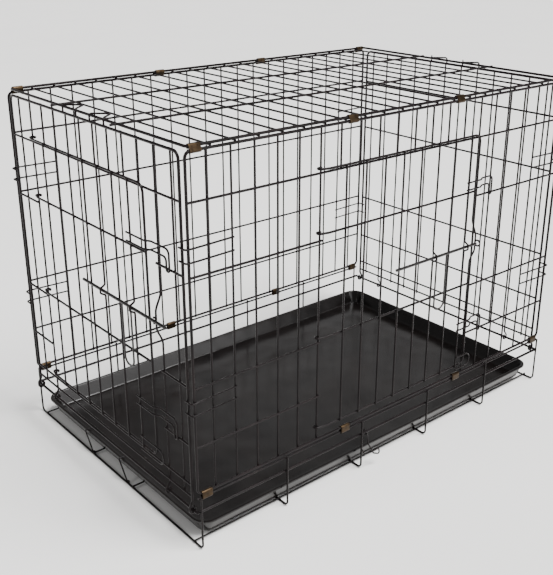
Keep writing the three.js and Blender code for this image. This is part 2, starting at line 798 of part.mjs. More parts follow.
// A slide bolt: a straight rod with a U-shaped handle hanging from it.
function slideBolt(kind, tip, length, handleFrom) {
  const point = doorPoint(kind);
  const across = point(0, 1, 0).sub(point(0, 0, 0));
  const rod = bar(point(tip - length, boltOut, boltZ), point(tip, boltOut, boltZ), BOLT_WIRE, across);
  const handle = [
    point(handleFrom, boltOut, boltZ),
    point(handleFrom, boltOut, boltZ - HANDLE_DROP),
    point(handleFrom - HANDLE_WIDTH, boltOut, boltZ - HANDLE_DROP),
    point(handleFrom - HANDLE_WIDTH, boltOut, boltZ),
  ];
  const wires = [rod, bentWire(rounded(handle, HANDLE_WIDTH / 2 - 1), HOOK_WIRE)];
  return weld(wires);
}

// ---------------------------------------------------------------- small parts

// A hook that sits over the front foot wire and reaches over the tray's rim.
function trayHook(y) {
  const reach = ((FOOT_WIRE + SMALL_WIRE) / 2) * CORNER + HOOK_GAP / 2;
  const z = FOOT_WIRE / 2;
  const prongZ = trayTopZ + TRAY_HOOK_OVER_RIM + (SMALL_WIRE / 2) * CORNER;
  const x = -footEndX;
  const legX = x - TRAY_HOOK_OFFSET;
  const path = [
    v(x + reach, y, z - TRAY_HOOK_TAIL),
    v(x + reach, y, z + reach),
    v(legX, y, z + reach),
    v(legX, y + TRAY_HOOK_LEAN, prongZ),
    v(legX + TRAY_HOOK_REACH, y + TRAY_HOOK_LEAN, prongZ),
  ];
  return bentWire(rounded(path, TRAY_HOOK_BEND, 2), SMALL_WIRE);
}

// A folded wire clip that hangs by an eye from the near base rail.
function foldClip() {
  const x = -footEndX + 2 * footPitch + FOLD_CLIP_PAST_FOOT;
  const radius = ((RAIL_WIRE + SMALL_WIRE) / 2) * CORNER + HOOK_GAP / 2;
  const centre = v(x, -sideY, LOWER_RAIL_Z);
  const eye = arc(centre, radius, -250, 0, v(0, -1, 0), up, 42);
  const at = (along, out, drop) => v(x + along, -sideY - out, LOWER_RAIL_Z - drop);
  const tail = [
    eye[eye.length - 1],
    at(0, 8, 22),
    at(10, 13, 44),
    at(24, 15, 50),
    at(24, 13, 38),
    at(6, 12, 40),
    at(-12, 11, 38),
    at(-18, 7, 24),
  ];
  return bentWire([...eye.slice(0, -1), ...rounded(tail, FOLD_CLIP_BEND, 1)], SMALL_WIRE);
}

// A sheet clip wrapped round two parallel wires, with a little clearance.
function hingeClip(x, first, second, widest) {
  const shrink = Math.cos(Math.PI / (2 * CLIP_STEPS));
  const inner = ((widest / 2) * CORNER + CLIP_GAP) / shrink;
  const along = second.clone().sub(first).normalize();
  const across = new THREE.Vector2(-along.y, along.x);
  const ring = (radius) => {
    const points = [];
    for (const [centre, turn] of [[first, 90], [second, -90]]) {
      for (let i = 0; i <= CLIP_STEPS; i += 1) {
        const angle = THREE.MathUtils.degToRad(turn + (180 * i) / CLIP_STEPS);
        const spoke = along.clone().multiplyScalar(radius * Math.cos(angle));
        points.push(spoke.addScaledVector(across, radius * Math.sin(angle)).add(centre));
      }
    }
    return points;
  };
  const shape = new THREE.Shape(ring(inner + CLIP_WALL));
  shape.holes.push(new THREE.Path(ring(inner)));
  const geometry = new THREE.ExtrudeGeometry(shape, { depth: CLIP_LENGTH, bevelEnabled: false });
  // The section is drawn in (Y, Z) and swept along X.
  geometry.applyMatrix4(new THREE.Matrix4().makeBasis(v(0, 1, 0), v(0, 0, 1), v(1, 0, 0)));
  return geometry.translate(x - CLIP_LENGTH / 2, 0, 0);
}

function makeClips() {
  const endClip = endX - TOP_INSET_X - TOP_BEND - CLIP_LENGTH / 2;
  const bay = (i) => (sideUprights[i] + sideUprights[i + 1]) / 2;
  const last = sideUprights.length - 2;
  const third = Math.round(last / 3);
  const topPlaces = [-endClip, bay(third), bay(last - third), endClip];
  const bottomPlaces = [-endClip, bay(third), bay(last - third + 1), endClip];
  for (const [side, sign] of [['near', -1], ['far', 1]]) {
    topPlaces.forEach((x, i) => {
      const first = new THREE.Vector2(sign * sideY, sideTopZ);
      const second = new THREE.Vector2(sign * (sideY - TOP_INSET_Y), FRAME_HEIGHT);
      piece(`top_clip_${side}_${i + 1}`, hingeClip(x, first, second, OUTLINE_WIRE), 'clip');
    });
    bottomPlaces.forEach((x, i) => {
      const first = new THREE.Vector2(sign * sideY, UPPER_RAIL_Z);
      const second = new THREE.Vector2(sign * sideY, SIDE_BOTTOM_Z);
      piece(`base_clip_${side}_${i + 1}`, hingeClip(x, first, second, OUTLINE_WIRE), 'clip');
    });
  }
}

// ---------------------------------------------------------------- the crate

makeBase();
makeTray();
piece('near_side_panel', sidePanel(-1, true), 'wire');
piece('far_side_panel', sidePanel(1, false), 'wire');
piece('front_end_panel', endPanel(-1, true), 'wire');
piece('rear_end_panel', endPanel(1, false), 'wire');
piece('top_panel', topPanel(), 'wire');
for (const [end, sign] of [['front', -1], ['rear', 1]]) {
  [-END_PITCH, END_PITCH].forEach((y, i) => {
    piece(`${end}_top_hook_${i + 1}`, topHook(sign, y), 'wire');
  });
}
piece('front_door', doorPanel('front'), 'wire');
piece('side_door', doorPanel('side'), 'wire');
piece(
  'front_slide_bolt',
  slideBolt(
    'front',
    DOORS.front.opening + FRONT_BOLT_PAST_KEEPER,
    FRONT_BOLT_LENGTH,
    DOORS.front.uprights[0] - FRONT_HANDLE_FROM_CURL,
  ),
  'bolt',
);
piece(
  'side_slide_bolt',
  slideBolt(
    'side',
    DOORS.side.opening - SIDE_BOLT_SHORT_OF_KEEPER,
    SIDE_BOLT_LENGTH,
    DOORS.side.uprights[2] + SIDE_HANDLE_FROM_CURL + HANDLE_WIDTH,
  ),
  'bolt',
);
TRAY_HOOK_Y.forEach((y, i) => {
  piece(`tray_hook_${i + 1}`, trayHook(y), 'wire');
});
piece('fold_clip', foldClip(), 'wire');
makeClips();

export default crate;
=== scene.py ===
"""A folding wire dog crate: welded panels of black coated steel wire with a front door and a side
door on slide bolts, a welded wire base with a plastic tray, and bronze sheet clips for hinges.
Sizes are in millimetres and are turned to metres when a mesh is made."""
import bpy
import numpy as np
from mathutils import Matrix


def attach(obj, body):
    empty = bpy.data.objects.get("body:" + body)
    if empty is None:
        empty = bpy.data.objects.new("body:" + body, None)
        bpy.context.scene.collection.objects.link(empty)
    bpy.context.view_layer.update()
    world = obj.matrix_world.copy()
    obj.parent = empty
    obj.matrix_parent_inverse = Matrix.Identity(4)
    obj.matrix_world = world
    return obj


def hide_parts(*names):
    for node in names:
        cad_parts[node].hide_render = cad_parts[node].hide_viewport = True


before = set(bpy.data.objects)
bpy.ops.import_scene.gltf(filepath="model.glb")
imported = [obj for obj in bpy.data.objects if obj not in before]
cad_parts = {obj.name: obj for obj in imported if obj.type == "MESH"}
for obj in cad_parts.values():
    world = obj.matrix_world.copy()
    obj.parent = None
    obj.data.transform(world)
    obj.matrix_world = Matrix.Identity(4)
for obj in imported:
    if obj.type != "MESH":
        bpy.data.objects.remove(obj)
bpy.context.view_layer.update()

# ---------------------------------------------------------------- camera
# The crate is seen over its front near corner, 1.8 m from its middle and a little above its roof.
CAMERA_PLACE = (-1.109, -1.281, 0.960)
CAMERA_TURN = 40.773
CAMERA_DROP = 21.174
CAMERA_ROLL = 0.394
LENS = 55.8
SENSOR_WIDTH = 36
CAMERA_SHIFT = (-0.034, -0.0427)

turn, drop, roll = np.radians([CAMERA_TURN, CAMERA_DROP, CAMERA_ROLL])
ahead = np.array([np.sin(turn) * np.cos(drop), np.cos(turn) * np.cos(drop), -np.sin(drop)])
level_right = np.array([np.cos(turn), -np.sin(turn), 0.0])
level_up = np.cross(level_right, ahead)
right = np.cos(roll) * level_right + np.sin(roll) * level_up
upward = -np.sin(roll) * level_right + np.cos(roll) * level_up

camera = bpy.data.objects.new("camera", bpy.data.cameras.new("camera"))
bpy.context.collection.objects.link(camera)
camera.matrix_world = Matrix(
    [[right[i], upward[i], -ahead[i], CAMERA_PLACE[i]] for i in range(3)] + [[0, 0, 0, 1]])
camera.data.lens = LENS
camera.data.sensor_width = SENSOR_WIDTH
camera.data.shift_x, camera.data.shift_y = CAMERA_SHIFT
camera.data.clip_start = 0.05
camera.data.clip_end = 50
bpy.context.scene.camera = camera

# ---------------------------------------------------------------- floor and light
# A plain white studio: a pale matt floor under an overhead diffuser, a soft box low on the near side,
# a small one past the front end, one behind that the tray mirrors, and a dim white surround.
# Places and sizes of the studio are in metres.
FLOOR_WHITE = "F4F3F1"
FLOOR_SHADE = "EFEEEC"
FLOOR_HALF = 30
SURROUND_WHITE = "FFFFFF"
SURROUND_STRENGTH = 0.32
SUN_STRENGTH = 6.4
SUN_SPREAD = 32
SUN_TILT = (24, 14, 0)
SOFT_BOXES = {
    "key": dict(place=(1.3, -3.4, 1.5), size=2.4, power=60),
    "side": dict(place=(-3.2, 0.4, 1.9), size=0.5, power=22),
    "back": dict(place=(2.3, 2.5, 1.5), size=1.8, power=3.5),
}
SOFT_BOX_AIM = (0, 0, 0.3)


def linear(hex_colour):
    """An sRGB hex colour as linear RGBA: c / 12.92 below 0.04045, else ((c + 0.055) / 1.055) ^ 2.4."""
    c = np.array([int(hex_colour[i:i + 2], 16) for i in (0, 2, 4)]) / 255
    return (*np.where(c <= 0.04045, c / 12.92, ((c + 0.055) / 1.055) ** 2.4).tolist(), 1.0)


def add(tree, kind, **settings):
    """A node of the kind given. A setting that names an input socket is its value or the socket
    that feeds it, and any other setting is a property of the node."""
    node = tree.nodes.new(kind)
    for name, value in settings.items():
        plain = name.replace("_", " ")
        socket = next((s for s in node.inputs if s.name.lower() == plain and s.enabled), None)
        if socket is None:
            setattr(node, name, value)
        elif isinstance(value, bpy.types.NodeSocket):
            tree.links.new(value, socket)
        else:
            socket.default_value = value
    return node


def new_material(name):
    """An empty node material, with its tree and its Principled shader already at the output."""
    material = bpy.data.materials.new(name)
    material.use_nodes = True
    material.node_tree.nodes.clear()
    tree = material.node_tree
    shader = add(tree, "ShaderNodeBsdfPrincipled")
    add(tree, "ShaderNodeOutputMaterial", surface=shader.outputs["BSDF"])
    return material, tree, shader


# Matt seamless studio floor: soft-edged tone changes half a metre wide, and no gloss.
studio_floor, tree, shader = new_material("matt_studio_floor")
place = add(tree, "ShaderNodeTexCoord").outputs["Object"]
cloud = add(tree, "ShaderNodeTexNoise", vector=place, scale=2.0, detail=3.0)
tone = add(tree, "ShaderNodeValToRGB", fac=cloud.outputs["Fac"])
tone.color_ramp.elements[0].color = linear(FLOOR_SHADE)
tone.color_ramp.elements[1].color = linear(FLOOR_WHITE)
tree.links.new(tone.outputs["Color"], shader.inputs["Base Color"])
shader.inputs["Roughness"].default_value = 0.9

floor_mesh = bpy.data.meshes.new("studio_floor")
floor_mesh.from_pydata([(FLOOR_HALF * x, FLOOR_HALF * y, 0)
                        for x, y in ((-1, -1), (1, -1), (1, 1), (-1, 1))], [], [(0, 1, 2, 3)])
floor_mesh.materials.append(studio_floor)
studio = bpy.data.objects.new("studio_floor", floor_mesh)
bpy.context.collection.objects.link(studio)

world = bpy.data.worlds.new("studio_surround")
bpy.context.scene.world = world
world.use_nodes = True
world.node_tree.nodes.clear()
surround = add(world.node_tree, "ShaderNodeBackground", color=linear(SURROUND_WHITE),
               strength=SURROUND_STRENGTH)
add(world.node_tree, "ShaderNodeOutputWorld", surface=surround.outputs["Background"])

sun = bpy.data.lights.new("overhead_diffuser", "SUN")
sun.energy = SUN_STRENGTH
sun.angle = np.radians(SUN_SPREAD)
overhead = bpy.data.objects.new("overhead_diffuser", sun)
bpy.context.collection.objects.link(overhead)
overhead.rotation_euler = np.radians(SUN_TILT).tolist()
for name, box in SOFT_BOXES.items():
    light = bpy.data.lights.new(name + "_soft_box", "AREA")
    light.size = box["size"]
    light.energy = box["power"]
    lamp = bpy.data.objects.new(name + "_soft_box", light)
    bpy.context.collection.objects.link(lamp)
    back = np.array(box["place"]) - SOFT_BOX_AIM
    back /= np.linalg.norm(back)
    across = np.cross((0, 0, 1), back)
    across /= np.linalg.norm(across)
    over = np.cross(back, across)
    lamp.matrix_world = Matrix(
        [[across[i], over[i], back[i], box["place"][i]] for i in range(3)] + [[0, 0, 0, 1]])

# ---------------------------------------------------------------- base grid
# The base is one welded grid of drawn steel wire: a lower rail and end rails, an upper rail on each
# side, six foot wires bent to a U under the tray, and four floor wires along the crate.
# It is resistance welded at every crossing and dipped in black electrocoat.
END_X = 453.0
SIDE_Y = 283.5
LOWER_RAIL_Z = 71.0
UPPER_RAIL_Z = 97.0
RAIL_WIRE = 5.0
UPPER_RAIL_WIRE = 4.0
FOOT_WIRE = 3.6
FLOOR_WIRE = 3.0
POST_X = 451.1
GRID_TOP = 99.0
FOOT_X = np.linspace(-448.0, 448.0, 6)
FOOT_Y = 288.1
FOOT_BEND = 8.0
FLOOR_WIRE_X = 449.8
FLOOR_WIRE_Y = np.array([-266.0, -71.0, 71.0, 266.0])
FLOOR_WIRE_Z = 5.4
RAIL_WELD_Y = 286.0
FLOOR_WELD_Z = 3.7
WIRE_SIDES = 12


def unit(vectors):
    """Each vector over its own length."""
    return vectors / np.linalg.norm(vectors, axis=-1, keepdims=True)


def bent(corners, radius, steps=7):
    """A path through the corner points with each inner corner turned into an arc. The arc starts
    and ends radius / tan(half the corner angle) from the corner, about a centre on its bisector."""
    p = np.asarray(corners, float)
    back, on = p[:-2] - p[1:-1], p[2:] - p[1:-1]
    room = 0.49 * np.minimum(np.linalg.norm(back, axis=1), np.linalg.norm(on, axis=1))
    back, on = unit(back), unit(on)
    half = np.arccos(np.clip((back * on).sum(1), -1, 1)) / 2
    reach = np.minimum(radius / np.tan(half), room)[:, None]
    centre = p[1:-1] + unit(back + on) * reach / np.cos(half)[:, None]
    first, last = p[1:-1] + back * reach - centre, p[1:-1] + on * reach - centre
    swing = (np.pi - 2 * half)[:, None, None]
    t = np.linspace(0, 1, steps + 1)[None, :, None]
    spokes = np.sin((1 - t) * swing) * first[:, None] + np.sin(t * swing) * last[:, None]
    arcs = centre[:, None] + spokes / np.sin(swing)
    return np.concatenate([p[:1], arcs.reshape(-1, 3), p[-1:]])


def ring_arc(centre, radius, start, stop, first, second, step=15.0):
    """Points centre + radius (cos a first + sin a second), for a from start to stop in degrees."""
    a = np.radians(np.linspace(start, stop, int(np.ceil(abs(stop - start) / step)) + 1))[:, None]
    return centre + radius * (np.cos(a) * np.asarray(first) + np.sin(a) * np.asarray(second))


# Directions that the angle round a wire may be measured from. The one that stays furthest from the
# wire's own direction is used, so a bent wire doesn't twist.
STEADY = unit(np.array([(x, y, z) for x in (0.3, 1, -0.6) for y in (0.2, 1, -0.8) for z in (0.1, 1)]))


def wire(path, diameter, closed=False, blunt=0.4):
    """A round wire: rings of points carried along the path, each square to the bisector of the two
    stretches that meet there. A sheared end has its edge broken by a small chamfer and is flat."""
    sides = WIRE_SIDES
    path = np.asarray(path, float)
    size = np.full(len(path), diameter / 2)
    if not closed:
        head, tail = unit(path[1] - path[0]), unit(path[-1] - path[-2])
        path = np.concatenate([path[:1], path[:1] + head * blunt, path[1:-1],
                               path[-1:] - tail * blunt, path[-1:]])
        size = np.concatenate([[0.74 * size[0]], size, [0.74 * size[0]]])
    onward = unit(np.roll(path, -1, 0) - path)
    arriving = np.roll(onward, 1, 0)
    if not closed:
        onward[-1], arriving[0] = arriving[-1], onward[0]
    tangent = unit(onward + arriving)
    sine = np.linalg.norm(np.cross(STEADY[:, None], tangent[None]), axis=-1).min(1)
    across = unit(np.cross(tangent, STEADY[sine.argmax()]))
    rise = np.cross(across, tangent)
    a = np.linspace(0, 2 * np.pi, sides, endpoint=False)[None, :, None]
    rings = np.cos(a) * across[:, None] + np.sin(a) * rise[:, None]
    points = (path[:, None] + size[:, None, None] * rings).reshape(-1, 3)
    n = len(path)
    i = np.arange(n if closed else n - 1)[:, None] * sides
    j = np.arange(sides)[None]
    far = (i + sides) % (n * sides)
    near_step, far_step = i + (j + 1) % sides, far + (j + 1) % sides
    quads = np.stack([i + j, far + j, far_step, near_step], -1).reshape(-1, 4).tolist()
    if not closed:
        quads += [list(range(sides)), list(range(n * sides - 1, (n - 1) * sides - 1, -1))]
    return points, quads


def straight(start, stop, diameter):
    """A straight round wire from one point to another."""
    middle = (np.asarray(start, float) + stop) / 2
    return wire([start, middle, stop], diameter)


def weld_spots(places, normal, reach=2.1, thickness=1.15):
    """The small lens of squeezed-out metal at each crossing: a ball of three rings of eight points
    and two poles, squashed along the normal to the panel and copied to every place."""
    places = np.atleast_2d(np.asarray(places, float))
    lat = np.radians([-50.0, 0.0, 50.0])[:, None]
    lon = np.linspace(0, 2 * np.pi, 8, endpoint=False)[None]
    ball = np.stack([np.cos(lat) * np.cos(lon), np.cos(lat) * np.sin(lon),
                     np.sin(lat) + 0 * lon], -1).reshape(-1, 3)
    ball = np.concatenate([ball, [(0, 0, -1), (0, 0, 1)]])
    scale = np.where(np.abs(normal) > 0.5, thickness, reach)
    points = (places[:, None] + ball * scale).reshape(-1, 3)
    j = np.arange(8)
    k = (j + 1) % 8
    quads = np.concatenate([np.stack([j, k, k + 8, j + 8], -1),
                            np.stack([j + 8, k + 8, k + 16, j + 16], -1)])
    fans = np.concatenate([np.stack([k, j, 0 * j + 24], -1),
                           np.stack([j + 16, k + 16, 0 * j + 25], -1)])
    shift = (np.arange(len(places)) * 26)[:, None, None]
    return points, (quads + shift).reshape(-1, 4).tolist() + (fans + shift).reshape(-1, 3).tolist()


def crossings(first, second, third):
    """Every combination of the coordinates given, as rows of points."""
    grid = np.meshgrid(first, second, third, indexing="ij")
    return np.stack(grid, -1).reshape(-1, 3)


def make_piece(name, parts, material, body, nodes, sharp=35.0):
    """One object from many closed parts given in millimetres. It rides on its body, takes its
    finish from the slot, and stands for the solids named."""
    shift, points, faces = 0, [], []
    for part_points, part_faces in parts:
        points.append(part_points)
        faces += [[corner + shift for corner in face] for face in part_faces]
        shift += len(part_points)
    mesh = bpy.data.meshes.new(name)
    mesh.from_pydata((np.concatenate(points) / 1000).tolist(), [], faces)
    mesh.polygons.foreach_set("use_smooth", np.ones(len(mesh.polygons), bool))
    mesh.set_sharp_from_angle(angle=np.radians(sharp))
    mesh.materials.append(material)
    piece = bpy.data.objects.new(name, mesh)
    bpy.context.collection.objects.link(piece)
    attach(piece, body)
    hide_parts(*nodes)
    return piece


# Black electrocoat on drawn steel wire: a thin dipped paint film, satin, near black with a brown
# cast where it runs thin. The film dries with a faint orange peel about 1.5 mm across, drawn 3 mm
# coarse so that it shows, and it is rubbed a little duller in patches a hand wide.
wire_coat, tree, shader = new_material("black_electrocoat_wire")
place = add(tree, "ShaderNodeTexCoord").outputs["Object"]
patches = add(tree, "ShaderNodeTexNoise", vector=place, scale=14.0, detail=4.0, roughness=0.6)
film = add(tree, "ShaderNodeValToRGB", fac=patches.outputs["Fac"])
film.color_ramp.elements[0].position = 0.32
film.color_ramp.elements[0].color = linear("0F0C0C")
film.color_ramp.elements[1].position = 0.72
film.color_ramp.elements[1].color = linear("1C1616")
middle_tone = film.color_ramp.elements.new(0.5)
middle_tone.color = linear("151112")
speckle = add(tree, "ShaderNodeTexNoise", vector=place, scale=420.0, detail=2.0)
thin = add(tree, "ShaderNodeMapRange", value=speckle.outputs["Fac"], from_min=0.66, from_max=0.78)
worn = add(tree, "ShaderNodeMix", data_type="RGBA")
tree.links.new(thin.outputs["Result"], worn.inputs["Factor"])
tree.links.new(film.outputs["Color"], worn.inputs["A"])
worn.inputs["B"].default_value = linear("2E2521")
tree.links.new(worn.outputs["Result"], shader.inputs["Base Color"])
gloss = add(tree, "ShaderNodeMapRange", value=patches.outputs["Fac"], from_min=0.3, from_max=0.75,
            to_min=0.16, to_max=0.3)
tree.links.new(gloss.outputs["Result"], shader.inputs["Roughness"])
peel = add(tree, "ShaderNodeTexNoise", vector=place, scale=330.0, detail=2.0, roughness=0.5)
ripple = add(tree, "ShaderNodeBump", height=peel.outputs["Fac"], strength=0.35, distance=0.00012)
tree.links.new(ripple.outputs["Normal"], shader.inputs["Normal"])
shader.inputs["IOR"].default_value = 1.45
shader.inputs["Specular IOR Level"].default_value = 0.13

base_parts = []
for side in (-1, 1):
    y = side * SIDE_Y
    base_parts.append(straight((-END_X, y, LOWER_RAIL_Z), (END_X, y, LOWER_RAIL_Z), RAIL_WIRE))
    base_parts.append(straight((-POST_X, y, UPPER_RAIL_Z), (POST_X, y, UPPER_RAIL_Z), UPPER_RAIL_WIRE))
    x = side * END_X
    base_parts.append(straight((x, -SIDE_Y, LOWER_RAIL_Z), (x, SIDE_Y, LOWER_RAIL_Z), RAIL_WIRE))
for x in FOOT_X:
    foot = [(x, -FOOT_Y, GRID_TOP), (x, -FOOT_Y, FOOT_WIRE / 2), (x, FOOT_Y, FOOT_WIRE / 2),
            (x, FOOT_Y, GRID_TOP)]
    base_parts.append(wire(bent(foot, FOOT_BEND), FOOT_WIRE))
for y in FLOOR_WIRE_Y:
    base_parts.append(straight((-FLOOR_WIRE_X, y, FLOOR_WIRE_Z), (FLOOR_WIRE_X, y, FLOOR_WIRE_Z),
                               FLOOR_WIRE))
base_parts.append(weld_spots(crossings(FOOT_X, (-RAIL_WELD_Y, RAIL_WELD_Y), (LOWER_RAIL_Z, UPPER_RAIL_Z)),
                             (0, 1, 0)))
base_parts.append(weld_spots(crossings(FOOT_X, FLOOR_WIRE_Y, FLOOR_WELD_Z), (0, 0, 1)))
base_nodes = [f"base_rail_{side}" for side in ("near", "far", "front", "rear")]
base_nodes += ["base_upper_rail_near", "base_upper_rail_far"]
base_nodes += [f"foot_wire_{i}" for i in range(1, 7)] + [f"floor_wire_{i}" for i in range(1, 5)]
make_piece("base_grid", base_parts, wire_coat, "crate_frame", base_nodes)

# ---------------------------------------------------------------- tray
# The tray is one thin-walled moulding of black plastic that slides in over the floor wires. Its
# walls lean outward to a rolled rim, and its floor is never quite flat, so reflections waver on it.
TRAY_X = 444.0
TRAY_Y = 279.8
TRAY_BOTTOM = 7.25
TRAY_TOP = 38.25
TRAY_WALL = 2.0
TRAY_RIM = 5.0
TRAY_FLARE = 9.0
TRAY_CORNER = 30.0
TIGHTEST_CORNER = 12.0
FLAT_INSET = 26.0


def tray_ring(inset, height, corner_steps=10, side_steps=36):
    """A rounded rectangle: it lies the inset inside the rim's outer edge, and its corner radius is
    the rim's less the inset, but never under the tightest corner's."""
    x, y = TRAY_X - inset, TRAY_Y - inset
    r = max(TRAY_CORNER - inset, TIGHTEST_CORNER)
    a = np.radians(np.linspace(0, 90, corner_steps + 1))
    quarter = np.stack([np.cos(a), np.sin(a)], -1) * r
    turns = [quarter, quarter[:, ::-1] * (-1, 1), -quarter, quarter[:, ::-1] * (1, -1)]
    centres = [(x - r, y - r), (r - x, y - r), (r - x, r - y), (x - r, r - y)]
    corners = [t + c for t, c in zip(turns, centres)]
    t = (np.arange(1, side_steps) / side_steps)[:, None]
    loop = []
    for here, after in zip(corners, corners[1:] + corners[:1]):
        loop += [here, here[-1] * (1 - t) + after[0] * t]
    flat = np.concatenate(loop)
    return np.column_stack([flat, np.full(len(flat), height)])


def tray_shell():
    """The section of the wall carried round the tray: out over the inner floor, up the inner wall,
    over the rim, down and back under its lip, down the outer wall and in under the floor. The floor
    crowns by half a millimetre and sags and rises on it as a product of sines in x and y, and the
    long walls waver in and out as a sum of two sines along x."""
    foot = TRAY_RIM + TRAY_FLARE + TRAY_WALL
    inner_floor = TRAY_BOTTOM + TRAY_WALL
    section = [
        (foot + FLAT_INSET, inner_floor), (foot + 7, inner_floor), (foot + 3, inner_floor + 0.5),
        (foot + 0.8, inner_floor + 2.0), (foot - 0.6, inner_floor + 5),
        (TRAY_RIM + TRAY_WALL + 1.2, TRAY_TOP - 4), (TRAY_RIM + TRAY_WALL - 0.2, TRAY_TOP - 1.1),
        (TRAY_RIM + TRAY_WALL - 1.4, TRAY_TOP - 0.2), (TRAY_RIM - 1, TRAY_TOP), (1.6, TRAY_TOP - 0.1),
        (0.5, TRAY_TOP - 0.6), (0.0, TRAY_TOP - 1.6), (0.1, TRAY_TOP - 3.1), (0.9, TRAY_TOP - 3.6),
        (1.9, TRAY_TOP - 3.1), (2.6, TRAY_TOP - 2.2), (TRAY_RIM - 1.2, TRAY_TOP - 2.0),
        (TRAY_RIM - 0.1, TRAY_TOP - 3.4), (TRAY_RIM + 0.6, TRAY_TOP - 6),
        (foot - 2.6, TRAY_BOTTOM + 5), (foot - 1.2, TRAY_BOTTOM + 1.6), (foot + 1.4, TRAY_BOTTOM + 0.2),
        (foot + 6, TRAY_BOTTOM), (foot + FLAT_INSET, TRAY_BOTTOM),
    ]
    rings = np.stack([tray_ring(inset, height) for inset, height in section])
    shrink = np.array([0.88, 0.7, 0.5, 0.3, 0.12])[:, None, None]
    inside = rings[0] * np.where([True, True, False], shrink[::-1], 1.0)
    under = rings[-1] * np.where([True, True, False], shrink, 1.0)
    rings = np.concatenate([inside, rings, under])
    x, y, z = rings[..., 0], rings[..., 1], rings[..., 2]
    on_floor = np.clip((inner_floor + 6 - z) / 6, 0, 1)
    sag = 0.34 * np.sin(x / 71 + 0.6) * np.cos(y / 53) + 0.2 * np.sin(x / 27 + y / 44)
    wave = 0.45 * np.sin(x / 96 + 1.1) + 0.2 * np.sin(x / 39)
    rings[..., 2] = z + on_floor * (0.55 + sag) * (z > TRAY_BOTTOM + 1) + 0.25 * wave * (1 - on_floor)
    rings[..., 1] = y + wave * np.sign(y) * (1 - on_floor) * (np.abs(y) > 240) - 0.5 * np.sign(y)
    rows, count = rings.shape[:2]
    i = np.arange(rows - 1)[:, None] * count
    j = np.arange(count)[None]
    k = (j + 1) % count
    quads = np.stack([i + j, i + count + j, i + count + k, i + k], -1).reshape(-1, 4).tolist()
    quads += [list(range(count)), list(range(rows * count - 1, (rows - 1) * count - 1, -1))]
    return rings.reshape(-1, 3), quads


# Black moulded high-impact polystyrene: a smooth satin skin that waves gently over 60 to 90 mm as the
# sheet cools, with a fine grain under a millimetre, drawn 2 mm coarse, and faint scuffs along X.
tray_plastic, tree, shader = new_material("black_polystyrene_tray")
place = add(tree, "ShaderNodeTexCoord").outputs["Object"]
cloud = add(tree, "ShaderNodeTexNoise", vector=place, scale=9.0, detail=4.0, roughness=0.55)
skin = add(tree, "ShaderNodeValToRGB", fac=cloud.outputs["Fac"])
skin.color_ramp.elements[0].position = 0.3
skin.color_ramp.elements[0].color = linear("090707")
skin.color_ramp.elements[1].position = 0.75
skin.color_ramp.elements[1].color = linear("14100F")
tree.links.new(skin.outputs["Color"], shader.inputs["Base Color"])
streaks_place = add(tree, "ShaderNodeMapping", vector=place, scale=(5.0, 26.0, 26.0))
scuffs = add(tree, "ShaderNodeTexNoise", vector=streaks_place.outputs["Vector"], scale=1.0, detail=4.0)
gloss = add(tree, "ShaderNodeMapRange", value=scuffs.outputs["Fac"], from_min=0.3, from_max=0.8,
            to_min=0.16, to_max=0.27)
tree.links.new(gloss.outputs["Result"], shader.inputs["Roughness"])
swell = add(tree, "ShaderNodeTexNoise", vector=place, scale=13.0, detail=1.0)
swell_bump = add(tree, "ShaderNodeBump", height=swell.outputs["Fac"], strength=0.5, distance=0.004)
grain = add(tree, "ShaderNodeTexNoise", vector=place, scale=500.0, detail=1.0)
grain_bump = add(tree, "ShaderNodeBump", height=grain.outputs["Fac"], strength=0.12, distance=0.0002,
                 normal=swell_bump.outputs["Normal"])
tree.links.new(grain_bump.outputs["Normal"], shader.inputs["Normal"])
shader.inputs["IOR"].default_value = 1.5
shader.inputs["Specular IOR Level"].default_value = 0.35
make_piece("slide_out_tray", [tray_shell()], tray_plastic, "floor_tray", ["tray"])

# ---------------------------------------------------------------- side panels
# Each side panel is a closed outline of heavier wire with level wires in its plane and thinner
# uprights welded inside them. Pairs of prongs at its ends pass outside the end panels' posts.
# The near panel has a doorway nine bays wide, with a keeper for the bolt on its rear edge.
OUTLINE_WIRE = 4.8
LEVEL_WIRE = 4.0
UPRIGHT_WIRE = 3.4
HOOK_WIRE = 3.2
SIDE_BOTTOM = 105.0
SIDE_TOP = 662.0
HEAD_Z = 588.0
STUB_Z = np.array([190.0, 293.0, 475.0])
BOLT_Z = 384.0
UPRIGHT_INSET = 3.3
UPRIGHT_TOUCH = 1.9
UPRIGHT_OVERHANG = 1.4
HEAD_OVERHANG = 3.4
STUB_GAP = 2.4
SIDE_UPRIGHTS = (np.arange(20) - 9.5) * 43.6
SIDE_DOORWAY = 196.2
SIDE_BEND = 10.0
CORNER_HOOK_Z = (261.0, 510.5)
PRONG_SPREAD = 10.5
PRONG_START = (369.0, -0.7)
PRONG_RISE = (441.1, 3.3)
PRONG_TURN = (457.6, 3.3)
PRONG_TIP = (457.6, -14.7)
PRONG_BEND = 4.2
KEEPER_OUT = 12.18
KEEPER_CURL = 4.5
KEEPER_RADIUS = 5.6
KEEPER_SWELL = 44.0
KEEPER_FLAT = 12.0


def outline_path(half_width, half_height, bend):
    """A closed rectangle in (across, along) with quarter circles at its corners."""
    a = np.radians(np.linspace(0, 90, 9))
    quarter = bend * np.stack([np.cos(a), np.sin(a)], -1)
    w, h = half_width - bend, half_height - bend
    return np.concatenate([quarter + (w, h), quarter[:, ::-1] * (-1, 1) + (-w, h),
                           -quarter + (-w, -h), quarter[:, ::-1] * (1, -1) + (w, -h)])


